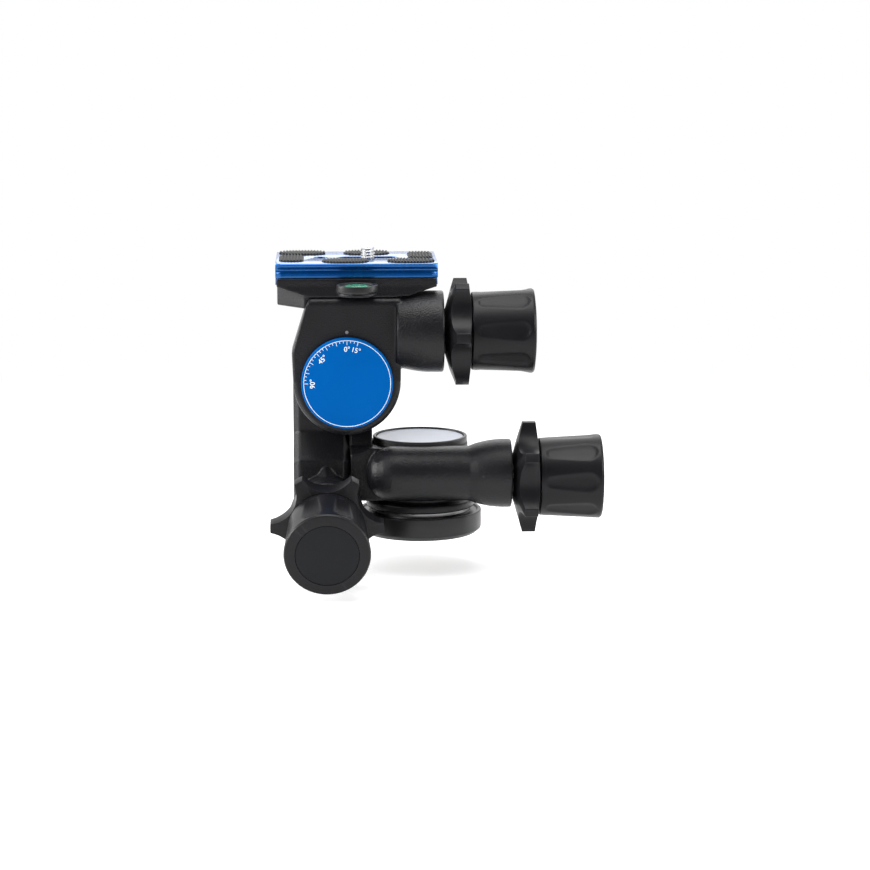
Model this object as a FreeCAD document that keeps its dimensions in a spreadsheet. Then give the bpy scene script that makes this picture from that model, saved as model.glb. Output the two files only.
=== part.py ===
"""Geared tripod head: three worm drives stacked on a base, under a clamp with a quick-release plate.

Millimetres. +X is right, +Y is away from the user, +Z is up, and the origin is the centre of the
base's bottom face, on the pan axis. Every drive has its own frame: Z runs along the worm towards the
knob, X points from the worm to its wheel, and the origin lies where the two mesh.
"""

import FreeCAD
import Part
import Sketcher
import math
import os
import re

os.makedirs("parts", exist_ok=True)

DRIVING_SIZES = {
    # base
    "base_radius": 27.3,
    "base_height": 10.0,
    "post_radius": 10.0,
    "thread_radius": 4.0,
    "washer_height": 1.5,
    "skirt_radius": 24.0,
    "skirt_height": 3.5,
    # gears: one module for the three drives
    "gear_module": 1.0,
    "pan_teeth": 34.0,
    "tilt_teeth": 22.0,
    "side_teeth": 32.0,
    "worm_pitch_radius": 5.0,
    "wheel_width": 6.0,
    "backlash": 0.16,
    # what the three drives share
    "shaft_radius": 3.0,
    "worm_bore": 6.5,
    "worm_half": 9.4,
    "fit_gap": 0.04,
    "collar_tip_radius": 23.0,
    "collar_valley_radius": 17.0,
    "collar_thickness": 11.2,
    "collar_gap": 0.6,
    "knob_radius": 18.4,
    "knob_root_radius": 16.9,
    "knob_length": 27.6,
    # pan housing
    "pan_floor": 24.4,
    "pan_wall_radius": 21.2,
    "pan_top": 40.5,
    "dial_height": 2.6,
    "dial_radius": 20.9,
    "pan_worm_height": 28.0,
    "pan_barrel_end": 39.0,
    "pan_barrel_radius": 12.0,
    "pan_flare_radius": 15.0,
    # front tilt
    "tilt_height": 36.5,
    "tilt_wheel_place": -41.5,
    "tilt_slope": 11.3,
    "tilt_barrel_end": 40.3,
    "flange_radius": 13.5,
    "flange_left": -31.0,
    "flange_right": -21.3,
    "arm_left": -56.0,
    "arm_right": -31.4,
    "arm_front": -20.0,
    "arm_plate_front": -9.6,
    "arm_plate_back": 8.0,
    "axle_radius": 5.0,
    # side tilt
    "side_place": -32.4,
    "side_height": 70.9,
    "side_worm_depth": -18.5,
    "side_barrel_end": 9.5,
    "housing_radius": 23.3,
    "housing_front": -27.0,
    "housing_back": -10.0,
    "housing_top": 107.6,
    "side_dial_radius": 19.8,
    "side_dial_height": 3.0,
    # clamp and plate
    "clamp_middle": -28.0,
    "clamp_length": 69.0,
    "clamp_depth": 50.0,
    "clamp_bed": 112.2,
    "clamp_top": 115.8,
    "level_depth": -38.0,
    "level_radius": 8.9,
    "plate_length": 70.0,
    "plate_depth": 50.0,
    "plate_bottom": 116.0,
    "plate_top": 122.2,
    "dovetail_half": 17.2,
    "dovetail_undercut": 3.0,
    "slot_place": -22.8,
    "slot_half": 13.0,
    "camera_thread_radius": 3.175,
    "camera_shank_radius": 2.9,
    "pad_height": 0.9,
}

doc = FreeCAD.newDocument("geared_head")
sheet = doc.addObject("Spreadsheet::Sheet", "Sizes")
for row, (alias, size) in enumerate(DRIVING_SIZES.items(), start=1):
    sheet.set(f"A{row}", alias)
    sheet.set(f"B{row}", str(size))
    sheet.setAlias(f"B{row}", alias)
doc.recompute()

WORDS = re.compile(r"[a-z_]{3,}")
FUNCTIONS = ("sin", "cos", "tan", "sqrt", "deg")
X_AXIS = FreeCAD.Vector(1, 0, 0)
Y_AXIS = FreeCAD.Vector(0, 1, 0)
Z_AXIS = FreeCAD.Vector(0, 0, 1)
nodes = []


def bound(formula):
    """The formula with each size named as a cell of the sheet."""
    text = str(formula)
    return WORDS.sub(lambda m: m.group() if m.group() in FUNCTIONS else "Sizes." + m.group(), text)


def value(formula):
    """The formula's present value, in millimetres or degrees."""
    result = sheet.evalExpression(str(formula))
    return float(getattr(result, "Value", result))


def bind(thing, **formulas):
    """Ties the thing's properties to the sheet."""
    for name, formula in formulas.items():
        thing.setExpression(name, bound(formula))


def keep(thing, label, placement=None):
    """Names a finished sub-part and puts it in its place."""
    thing.Label = label
    if placement is not None:
        thing.Placement = placement
    nodes.append(thing)
    return thing


def frame(origin, x_direction, z_direction):
    """A placement whose own X and Z point the given ways."""
    x_unit = FreeCAD.Vector(x_direction).normalize()
    z_unit = FreeCAD.Vector(z_direction).normalize()
    y_unit = z_unit.cross(x_unit)
    turn = FreeCAD.Rotation(x_unit, y_unit, z_unit, "ZXY")
    return FreeCAD.Placement(FreeCAD.Vector(origin), turn)


def at(x=0, y=0, z=0, axis=Z_AXIS, angle=0):
    """A placement from formulas, turned about an axis."""
    base = FreeCAD.Vector(value(x), value(y), value(z))
    return FreeCAD.Placement(base, FreeCAD.Rotation(axis, angle))


def box(name, x, y, z):
    """A box between pairs of formulas."""
    thing = doc.addObject("Part::Box", name)
    bind(thing, Length=f"({x[1]}) - ({x[0]})", Width=f"({y[1]}) - ({y[0]})", Height=f"({z[1]}) - ({z[0]})")
    thing.setExpression("Placement.Base.x", bound(x[0]))
    thing.setExpression("Placement.Base.y", bound(y[0]))
    thing.setExpression("Placement.Base.z", bound(z[0]))
    return thing


def cylinder(name, radius, height, placement=None):
    """A cylinder that stands on its placement."""
    thing = doc.addObject("Part::Cylinder", name)
    bind(thing, Radius=radius, Height=height)
    if placement is not None:
        thing.Placement = placement
    return thing


def cone(name, lower, upper, height, placement=None):
    """A cut cone that stands on its placement."""
    thing = doc.addObject("Part::Cone", name)
    bind(thing, Radius1=lower, Radius2=upper, Height=height)
    if placement is not None:
        thing.Placement = placement
    return thing


def fused(name, pieces):
    """The pieces joined into one shape."""
    thing = doc.addObject("Part::MultiFuse", name)
    thing.Shapes = pieces
    thing.Refine = True
    return thing


def cut(name, body, cutters):
    """The body less its cutters."""
    tools = cutters[0] if len(cutters) == 1 else fused(name + "_tools", cutters)
    thing = doc.addObject("Part::Cut", name)
    thing.Base = body
    thing.Tool = tools
    thing.Refine = True
    return thing


def origin_plane(body, role):
    """One of the body's own three planes."""
    return next(part for part in body.Origin.OriginFeatures if part.Role == role)


def outline(body, name, role, corners, lift=0):
    """A closed outline on one of the body's planes, each corner given as two formulas."""
    sketch = body.newObject("Sketcher::SketchObject", name)
    sketch.AttachmentSupport = [(origin_plane(body, role), "")]
    sketch.MapMode = "FlatFace"
    sketch.AttachmentOffset = FreeCAD.Placement(FreeCAD.Vector(0, 0, value(lift)), FreeCAD.Rotation())
    points = [FreeCAD.Vector(value(u), value(v), 0) for u, v in corners]
    count = len(points)
    for i in range(count):
        sketch.addGeometry(Part.LineSegment(points[i], points[(i + 1) % count]))
    for i in range(count):
        sketch.addConstraint(Sketcher.Constraint("Coincident", i, 2, (i + 1) % count, 1))
    for i, (u, v) in enumerate(corners):
        across = sketch.addConstraint(Sketcher.Constraint("DistanceX", -1, 1, i, 1, points[i].x))
        sketch.setExpression(f"Constraints[{across}]", bound(u))
        along = sketch.addConstraint(Sketcher.Constraint("DistanceY", -1, 1, i, 1, points[i].y))
        sketch.setExpression(f"Constraints[{along}]", bound(v))
    return sketch


def turned(name, corners):
    """A body of revolution about its own Z, from corners given as radius and height."""
    body = doc.addObject("PartDesign::Body", name)
    sketch = outline(body, name + "_section", "XZ_Plane", corners)
    turn = body.newObject("PartDesign::Revolution", name + "_turn")
    turn.Profile = sketch
    turn.ReferenceAxis = (sketch, ["V_Axis"])
    turn.Angle = 360
    body.Tip = turn
    return body


def padded(name, role, corners, start, length):
    """A body with one outline drawn out from start, along the plane's normal."""
    body = doc.addObject("PartDesign::Body", name)
    sketch = outline(body, name + "_outline", role, corners, start)
    pad = body.newObject("PartDesign::Pad", name + "_pad")
    pad.Profile = sketch
    bind(pad, Length=length)
    body.Tip = pad
    return body


def scalloped(body, name, count, radius, height, offset):
    """Cuts a ring of round hollows along the body's own axis."""
    cutter = body.newObject("PartDesign::SubtractiveCylinder", name + "_hollow")
    cutter.AttachmentSupport = [(origin_plane(body, "XY_Plane"), "")]
    cutter.MapMode = "FlatFace"
    cutter.AttachmentOffset = offset
    bind(cutter, Radius=radius, Height=height)
    ring = body.newObject("PartDesign::PolarPattern", name + "_ring")
    ring.Originals = [cutter]
    ring.Axis = (next(p for p in body.Origin.OriginFeatures if p.Role == "Z_Axis"), [""])
    ring.Angle = 360
    ring.Occurrences = count
    body.Tip = ring
    return body


def group(name, pieces):
    """Like pieces that share a node, each a solid of its own."""
    thing = doc.addObject("Part::Compound", name)
    thing.Links = pieces
    return thing


def tooth_half_angle(radius, pitch_radius, thickness):
    """Half the angle that an involute tooth fills at a radius, for a 20 degree pressure angle."""
    pressure = math.radians(20)
    base_radius = pitch_radius * math.cos(pressure)
    here = math.acos(min(1.0, base_radius / radius))
    involute = (math.tan(pressure) - pressure) - (math.tan(here) - here)
    return thickness / (2 * pitch_radius) + involute


def wheel_outline(teeth, pitch_radius, module, thickness, lift, twist):
    """The wheel's toothed outline at a height, with a gap on its X axis before the twist."""
    root = pitch_radius - 1.2 * module
    levels = (root, pitch_radius - 0.1 * module, pitch_radius + 0.92 * module)
    points = []
    for tooth in range(teeth):
        middle = math.pi * (2 * tooth + 1) / teeth + twist
        half = [tooth_half_angle(max(level, root), pitch_radius, thickness) for level in levels]
        rising = [(levels[k], middle - half[k]) for k in range(3)]
        falling = [(levels[k], middle + half[k]) for k in (2, 1, 0)]
        for radius, angle in rising + falling:
            points.append(FreeCAD.Vector(radius * math.cos(angle), radius * math.sin(angle), lift))
    return Part.makePolygon(points + points[:1])


def worm_wheel(name, label, teeth_name, bore, placement):
    """A wheel whose teeth lean by the worm's lead."""
    module = value("gear_module")
    teeth = round(value(teeth_name))
    width = value("wheel_width")
    pitch_radius = module * teeth / 2
    lead = module / (2 * value("worm_pitch_radius"))
    twist = width * lead / (2 * pitch_radius)
    thickness = math.pi * module / 2 - value("backlash")
    ends = []
    for lift, turn in ((-width / 2, -twist), (width / 2, twist)):
        ends.append(wheel_outline(teeth, pitch_radius, module, thickness, lift, turn))
    blank = Part.makeLoft(ends, True, True)
    shape = blank.cut(Part.makeCylinder(value(bore), 2 * width, FreeCAD.Vector(0, 0, -width)))
    thing = doc.addObject("Part::Feature", name)
    thing.Shape = shape
    return keep(thing, label, placement)


def worm(name, label, end, placement):
    """A single-start worm on its shaft, which runs on into the knob."""
    module = value("gear_module")
    pitch = math.pi * module
    middle = value("worm_pitch_radius")
    core = middle - 1.2 * module
    crest = middle + 0.92 * module
    slope = math.tan(math.radians(20))
    half = pitch / 4 - value("backlash") / 2
    foot = core - 0.25
    turns = 4
    height = turns * pitch
    corners = []
    for radius, side in ((foot, -1), (crest, -1), (crest, 1), (foot, 1)):
        reach = half - (radius - middle) * slope
        corners.append(FreeCAD.Vector(radius, 0, side * reach - height / 2))
    section = Part.makePolygon(corners + corners[:1])
    spine = Part.makeHelix(pitch, height, middle)
    spine.translate(FreeCAD.Vector(0, 0, -height / 2))
    thread = Part.Wire(spine.Edges).makePipeShell([section], True, True)
    shaft = value("shaft_radius")
    tail = value("worm_half") + 3.0
    reach = value(end) + value("collar_gap") + value("collar_thickness") + 20.0
    core_half = value("worm_half") - 0.3
    rod = Part.makeCylinder(shaft, tail + reach, FreeCAD.Vector(0, 0, -tail))
    rod = rod.fuse(Part.makeCylinder(core, 2 * core_half, FreeCAD.Vector(0, 0, -core_half)))
    thing = doc.addObject("Part::Feature", name)
    thing.Shape = rod.fuse(thread).removeSplitter()
    return keep(thing, label, placement)


def bush(name, lower, upper, placement):
    """A plain bearing between two heights of a drive."""
    corners = [
        ("shaft_radius + fit_gap", lower),
        ("worm_bore - 0.02", lower),
        ("worm_bore - 0.02", upper),
        ("shaft_radius + fit_gap", upper),
    ]
    body = turned(name, corners)
    body.Placement = placement
    return body


def end_ring(name, label, end, outer, placement):
    """The cover screwed into the end of a barrel, with a short spigot."""
    corners = [
        ("shaft_radius + fit_gap", f"{end} - 4"),
        ("worm_bore - 0.02", f"{end} - 4"),
        ("worm_bore - 0.02", f"{end} - 1.5"),
        (f"{outer} - 3", f"{end} - 1.5"),
        (f"{outer} - 3", f"{end}"),
        ("shaft_radius + fit_gap", f"{end}"),
    ]
    return keep(turned(name, corners), label, placement)


def collar(name, label, end, placement):
    """The release collar: six lobes on a disc, hollowed between, with a conical back."""
    start = f"{end} + collar_gap"
    finish = f"{start} + collar_thickness"
    corners = [
        ("shaft_radius + 0.3", start),
        ("10", start),
        ("13.4", f"{start} + 2.8"),
        ("collar_tip_radius", f"{start} + 4.4"),
        ("collar_tip_radius", f"{start} + 9.0"),
        ("15", f"{finish}"),
        ("shaft_radius + 0.3", f"{finish}"),
    ]
    body = turned(name, corners)
    hollow = value("8.6")
    away = value("collar_valley_radius") + hollow
    place = FreeCAD.Vector(away, 0, value(start) - 1)
    offset = FreeCAD.Placement(place, FreeCAD.Rotation())
    scalloped(body, name, 6, "8.6", "collar_thickness + 2", offset)
    return keep(body, label, placement)


def knob(name, label, end, placement):
    """The fine knob: a tapered grip with eight shallow flutes and a rounded end."""
    start = f"{end} + collar_gap + collar_thickness + 0.4"
    corners = [
        ("shaft_radius", start),
        ("knob_root_radius", start),
        ("knob_radius", f"{start} + knob_length - 3.0"),
        ("knob_radius - 1.0", f"{start} + knob_length - 1.2"),
        ("knob_radius - 4.1", f"{start} + knob_length"),
        ("knob_radius - 4.5", f"{start} + knob_length - 1.6"),
        ("shaft_radius", f"{start} + knob_length - 1.6"),
    ]
    body = turned(name, corners)
    place = FreeCAD.Vector(value("knob_root_radius") + 12.4, 0, value(start) + 3.5)
    lean = FreeCAD.Rotation(Y_AXIS, 0.3)
    scalloped(body, name, 8, "13", "knob_length", FreeCAD.Placement(place, lean))
    return keep(body, label, placement)


def knob_cap(name, label, end, placement):
    """The disc that closes a knob's end."""
    seat = f"{end} + collar_gap + collar_thickness + 0.4 + knob_length - 1.6"
    corners = [
        ("0", f"{seat}"),
        ("knob_radius - 4.6", f"{seat}"),
        ("knob_radius - 4.6", f"{seat} + 0.7"),
        ("knob_radius - 5.4", f"{seat} + 1.0"),
        ("0", f"{seat} + 1.0"),
    ]
    return keep(turned(name, corners), label, placement)


def screw(name, radius, shank, length, place):
    """A cap screw that points down its own Z, with the underside of its head at zero."""
    corners = [
        ("0", f"-({length})"),
        (f"{shank}", f"-({length})"),
        (f"{shank}", "0"),
        (f"{radius}", "0"),
        (f"{radius}", f"({radius}) * 0.8"),
        ("0", f"({radius}) * 0.8"),
    ]
    body = turned(name, corners)
    body.Placement = place
    return body


def holes_on_circle(name, count, circle, radius, bottom, height, start=0):
    """Cutters for a ring of upright holes."""
    pieces = []
    for i in range(count):
        angle = math.radians(start + 360 * i / count)
        reach = value(circle)
        spot = FreeCAD.Vector(reach * math.cos(angle), reach * math.sin(angle), value(bottom))
        pieces.append(cylinder(f"{name}_{i}", radius, height, FreeCAD.Placement(spot, FreeCAD.Rotation())))
    return pieces


def drive(prefix, end, flare, placement):
    """Everything on one worm axis, from the inner bush to the knob's cap."""
    worm(prefix + "_worm_shape", prefix + "_worm", end, placement)
    inner = bush(prefix + "_inner_bush", "-worm_half - 3", "-worm_half", placement)
    outer = bush(prefix + "_outer_bush", "worm_half", "worm_half + 8", placement)
    keep(group(prefix + "_bush_pair", [inner, outer]), prefix + "_bushes")
    end_ring(prefix + "_ring_body", prefix + "_end_ring", end, flare, placement)
    collar(prefix + "_collar_body", prefix + "_collar", end, placement)
    knob(prefix + "_knob_body", prefix + "_knob", end, placement)
    knob_cap(prefix + "_cap_body", prefix + "_knob_cap", end, placement)


def drive_bore(name, end, placement):
    """The hole that takes a drive's worm, bushes and spigot."""
    back = value("worm_half + 3.1")
    spot = placement.multiply(FreeCAD.Placement(FreeCAD.Vector(0, 0, -back), FreeCAD.Rotation()))
    return cylinder(name, "worm_bore", f"{end} + worm_half + 3.1", spot)


def ring_seat(name, end, flare, placement):
    """The shallow seat of the end ring."""
    spot = placement.multiply(FreeCAD.Placement(FreeCAD.Vector(0, 0, value(f"{end} - 1.5")), FreeCAD.Rotation()))
    return cylinder(name, f"{flare} - 2.98", "3", spot)


def along(placement, distance):
    """The same frame, moved along its own Z."""
    return placement.multiply(FreeCAD.Placement(FreeCAD.Vector(0, 0, distance), FreeCAD.Rotation()))


# frames of the three drives and of the two tilt axes
slope = math.radians(value("tilt_slope"))
tilt_reach = value("gear_module * tilt_teeth / 2 + worm_pitch_radius")
side_reach = value("gear_module * side_teeth / 2 + worm_pitch_radius")
pan_reach = value("gear_module * pan_teeth / 2 + worm_pitch_radius")
to_knob = FreeCAD.Vector(0, -math.cos(slope), -math.sin(slope))
to_tilt_axis = FreeCAD.Vector(0, -math.sin(slope), math.cos(slope))
tilt_centre = FreeCAD.Vector(value("tilt_wheel_place"), 0, value("tilt_height"))
side_centre = FreeCAD.Vector(value("side_place"), value("side_worm_depth"), value("side_height"))
pan_drive = frame((0, -pan_reach, value("pan_worm_height")), Y_AXIS, X_AXIS)
tilt_drive = frame(tilt_centre - to_tilt_axis * tilt_reach, to_tilt_axis, to_knob)
side_drive = frame(side_centre + Z_AXIS * side_reach, -Z_AXIS, X_AXIS)
tilt_axis = frame((0, 0, value("tilt_height")), Y_AXIS, X_AXIS)
side_axis = frame((value("side_place"), 0, value("side_height")), Z_AXIS, Y_AXIS)
PAN_END = "pan_barrel_end"
TILT_END = "tilt_barrel_end"
SIDE_END = "side_barrel_end - side_place"


def base():
    """The round foot with its post, the threaded bush, the fixed worm wheel and its fastenings."""
    corners = [
        ("6", "0"),
        ("base_radius - 1", "0"),
        ("base_radius", "1"),
        ("base_radius", "base_height - 0.8"),
        ("base_radius - 0.8", "base_height"),
        ("post_radius", "base_height"),
        ("post_radius", "pan_worm_height - wheel_width / 2"),
        ("6", "pan_worm_height - wheel_width / 2"),
    ]
    blank = turned("foot_blank", corners)
    grub_holes = holes_on_circle("grub_hole", 3, "12", "1.62", "-1", "7", 30)
    top = "pan_worm_height - wheel_width / 2"
    keep(cut("foot", blank, grub_holes), "base_disc")
    bush_corners = [
        ("thread_radius", "0.4"),
        ("6", "0.4"),
        ("6", "base_height - 0.6"),
        ("thread_radius", "base_height - 0.6"),
    ]
    keep(turned("threaded_bush", bush_corners), "tripod_bush")
    grubs = [
        cylinder(f"grub_{i}", "1.6", "5.4", hole.Placement.multiply(at(z=1.4)))
        for i, hole in enumerate(grub_holes)
    ]
    keep(group("grub_set", grubs), "base_grub_screws")
    washer_corners = [
        ("post_radius + 0.1", "base_height + 0.04"),
        ("22", "base_height + 0.04"),
        ("22", "base_height + washer_height - 0.04"),
        ("post_radius + 0.1", "base_height + washer_height - 0.04"),
    ]
    keep(turned("turning_washer", washer_corners), "thrust_washer")
    keeper_corners = [
        ("post_radius + 0.1", "pan_floor + 0.06"),
        ("15.5", "pan_floor + 0.06"),
        ("15.5", f"{top} - 0.06"),
        ("post_radius + 0.1", f"{top} - 0.06"),
    ]
    keep(turned("keeper_ring", keeper_corners), "keeper_washer")
    wheel_place = frame((0, 0, value("pan_worm_height")), -Y_AXIS, Z_AXIS)
    worm_wheel("pan_wheel_shape", "pan_wheel", "pan_teeth", "6", wheel_place)


def pan_housing():
    """The casting that turns on the base: a round cup, the worm barrel, and the flange of the front tilt."""
    floor = "base_height + washer_height"
    corners = [
        ("post_radius + fit_gap", floor),
        ("skirt_radius - 0.6", floor),
        ("skirt_radius", f"{floor} + 0.6"),
        ("skirt_radius", f"{floor} + skirt_height - 0.6"),
        ("skirt_radius - 0.6", f"{floor} + skirt_height"),
        ("pan_wall_radius", f"{floor} + skirt_height + 0.8"),
        ("pan_wall_radius", "pan_top"),
        ("post_radius + fit_gap", "pan_top"),
    ]
    cup = turned("pan_cup", corners)
    barrel = cylinder("pan_barrel", "pan_barrel_radius", "pan_barrel_end + 15", along(pan_drive, -15))
    flare_start = value("pan_barrel_end - 10")
    flare = cone("pan_flare", "pan_barrel_radius", "pan_flare_radius", "4.5", along(pan_drive, flare_start))
    lip = cylinder("pan_lip", "pan_flare_radius", "5.5", along(pan_drive, flare_start + 4.5))
    flange = cylinder("tilt_flange", "flange_radius", "flange_right - flange_left", along(tilt_axis, value("flange_left")))
    web_corners = [
        ("flange_left", "17"),
        ("flange_left", "tilt_height - 1.5"),
        ("flange_right", "tilt_height - 3"),
        ("-15", "27"),
        ("-8", "21"),
        ("-8", "17"),
    ]
    front_web = padded("tilt_front_web", "XZ_Plane", web_corners, 0, "19.5")
    back_web = box("tilt_back_web", ("flange_left", "-12"), ("-6", "11"), ("17", "tilt_height - 1.5"))
    body = fused("pan_casting", [cup, barrel, flare, lip, flange, front_web, back_web])
    cavity = cylinder("pan_cavity", "gear_module * pan_teeth / 2 + 1.6", "pan_top", at(z="pan_floor"))
    neck = cylinder("pan_post_bore", "post_radius + fit_gap", "pan_top")
    bore = drive_bore("pan_bore", PAN_END, pan_drive)
    seat = ring_seat("pan_ring_seat", PAN_END, "pan_flare_radius", pan_drive)
    axle_hole = cylinder("axle_hole", "axle_radius", "8", along(tilt_axis, value("flange_left")))
    keep(cut("pan_case", body, [cavity, neck, bore, seat, axle_hole]), "pan_housing")


def pan_dial():
    """The dark rim on top of the housing and the pale numbered disc that it holds."""
    rim_corners = [
        ("17.4", "pan_top"),
        ("dial_radius", "pan_top"),
        ("dial_radius", "pan_top + dial_height - 0.4"),
        ("dial_radius - 0.4", "pan_top + dial_height"),
        ("dial_radius - 1.6", "pan_top + dial_height"),
        ("dial_radius - 1.6", "pan_top + 0.5"),
        ("17.4", "pan_top + 0.5"),
    ]
    keep(turned("rim_body", rim_corners), "pan_rim")
    disc_corners = [
        ("0", "pan_top + 0.5"),
        ("dial_radius - 1.7", "pan_top + 0.5"),
        ("dial_radius - 1.7", "pan_top + dial_height - 0.7"),
        ("0", "pan_top + dial_height - 0.7"),
    ]
    keep(turned("dial_disc", disc_corners), "pan_dial")


def front_tilt():
    """The axle fixed in the flange, its wheel, spacer and cap."""
    end = "arm_left + 1.8"
    axle_corners = [("0", end), ("axle_radius", end), ("axle_radius", "flange_left + 7.9"), ("0", "flange_left + 7.9")]
    keep(turned("tilt_shaft", axle_corners), "tilt_axle", tilt_axis)
    cap_corners = [
        ("0", "arm_left + 0.1"),
        ("8.6", "arm_left + 0.1"),
        ("9.6", "arm_left + 0.8"),
        ("9.6", "arm_left + 2.3"),
        ("axle_radius", "arm_left + 2.3"),
        ("axle_radius", end),
        ("0", end),
    ]
    keep(turned("tilt_cap_body", cap_corners), "tilt_cap", tilt_axis)
    near = "tilt_wheel_place + wheel_width / 2"
    spacer_corners = [("axle_radius", near), ("8", near), ("8", "flange_left"), ("axle_radius", "flange_left")]
    keep(turned("tilt_spacer_body", spacer_corners), "tilt_spacer", tilt_axis)
    wheel_place = frame(tilt_centre, to_tilt_axis * -1, X_AXIS)
    worm_wheel("tilt_wheel_shape", "tilt_wheel", "tilt_teeth", "axle_radius", wheel_place)


def arm():
    """The bracket between the tilts: a bent side profile, the round plate behind, and the worm barrel."""
    side_corners = [
        ("arm_front", "11"),
        ("arm_front", "35.4"),
        ("arm_plate_front", "46.5"),
        ("arm_plate_front", "side_height + 1"),
        ("arm_plate_back", "side_height + 1"),
        ("arm_plate_back", "side_height - 12"),
        ("17", "tilt_height + 8"),
        ("17", "tilt_height - 9"),
        ("8", "11"),
    ]
    block = padded("arm_block", "YZ_Plane", side_corners, "arm_left", "arm_right - arm_left")
    pad = block.Tip
    front_edges = upright_edges(block, value("arm_front"))
    chamfer = block.newObject("PartDesign::Chamfer", "arm_front_edges")
    chamfer.Base = (pad, front_edges)
    chamfer.Size = 2.6
    block.Tip = chamfer
    plate_place = along(side_axis, value("arm_plate_front"))
    plate = cylinder("arm_plate", "housing_radius - 0.8", "arm_plate_back - arm_plate_front", plate_place)
    round_part = cylinder("arm_barrel_round", "16", "29", along(tilt_drive, 3))
    flat_sides = box("arm_barrel_sides", ("arm_left", "arm_right"), ("-60", "30"), ("-20", "60"))
    flat_barrel = doc.addObject("Part::Common", "arm_barrel")
    flat_barrel.Base = round_part
    flat_barrel.Tool = flat_sides
    lip = cylinder("arm_lip", "16.2", "tilt_barrel_end - 31", along(tilt_drive, 31))
    body = fused("arm_casting", [block, plate, flat_barrel, lip])
    cavity_place = along(tilt_axis, value("tilt_wheel_place - wheel_width / 2 - 0.6"))
    cavity = cylinder("arm_cavity", "gear_module * tilt_teeth / 2 + 1.6", "30", cavity_place)
    axle_bore = cylinder("arm_axle_bore", "axle_radius + fit_gap", "30", along(tilt_axis, value("arm_left")))
    cap_seat = cylinder("arm_cap_seat", "10", "2.6", along(tilt_axis, value("arm_left")))
    bore = drive_bore("arm_bore", TILT_END, tilt_drive)
    seat = ring_seat("arm_ring_seat", TILT_END, "16.2", tilt_drive)
    pin_hole = cylinder("arm_pin_hole", "axle_radius", "30", along(side_axis, -15))
    flange_room = cylinder("arm_flange_room", "flange_radius + 0.5", "30", along(tilt_axis, value("arm_right")))
    cutters = [cavity, axle_bore, cap_seat, bore, seat, pin_hole, flange_room]
    keep(cut("arm_case", body, cutters), "arm")


def upright_edges(body, depth):
    """Names of the block's upright edges in its front face."""
    doc.recompute()
    names = []
    for i, edge in enumerate(body.Shape.Edges, start=1):
        ends = [v.Point for v in edge.Vertexes]
        straight = len(ends) == 2 and abs(ends[0].x - ends[1].x) < 0.01
        in_front = all(abs(p.y - depth) < 0.01 for p in ends)
        if straight and in_front and abs(ends[0].z - ends[1].z) > 1:
            names.append(f"Edge{i}")
    return names


def side_tilt():
    """The axle, wheel, spacer, nut and blue dial that the arm carries."""
    front = "housing_front - 1.5"
    axle_corners = [("0", front), ("axle_radius", front), ("axle_radius", "arm_plate_back + 4"), ("0", "arm_plate_back + 4")]
    keep(turned("side_shaft", axle_corners), "side_axle", side_axis)
    face = "housing_front - 0.3 - side_dial_height"
    dial_corners = [
        ("0", face),
        ("side_dial_radius - 0.5", face),
        ("side_dial_radius", f"{face} + 0.5"),
        ("side_dial_radius", "housing_front - 0.3"),
        ("axle_radius", "housing_front - 0.3"),
        ("axle_radius", front),
        ("0", front),
    ]
    keep(turned("side_dial_body", dial_corners), "side_dial", side_axis)
    near = "side_worm_depth + wheel_width / 2"
    spacer_corners = [("axle_radius", near), ("8", near), ("8", "arm_plate_front"), ("axle_radius", "arm_plate_front")]
    keep(turned("side_spacer_body", spacer_corners), "side_spacer", side_axis)
    worm_wheel("side_wheel_shape", "side_wheel", "side_teeth", "axle_radius", frame(side_centre, Z_AXIS, Y_AXIS))
    nut = doc.addObject("Part::Prism", "side_nut_blank")
    nut.Polygon = 6
    nut.Circumradius = 9
    nut.Height = 4
    nut.Placement = along(side_axis, value("arm_plate_back"))
    hole = cylinder("side_nut_hole", "axle_radius", "6", along(side_axis, value("arm_plate_back - 1")))
    keep(cut("side_nut_body", nut, [hole]), "side_nut")


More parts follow.
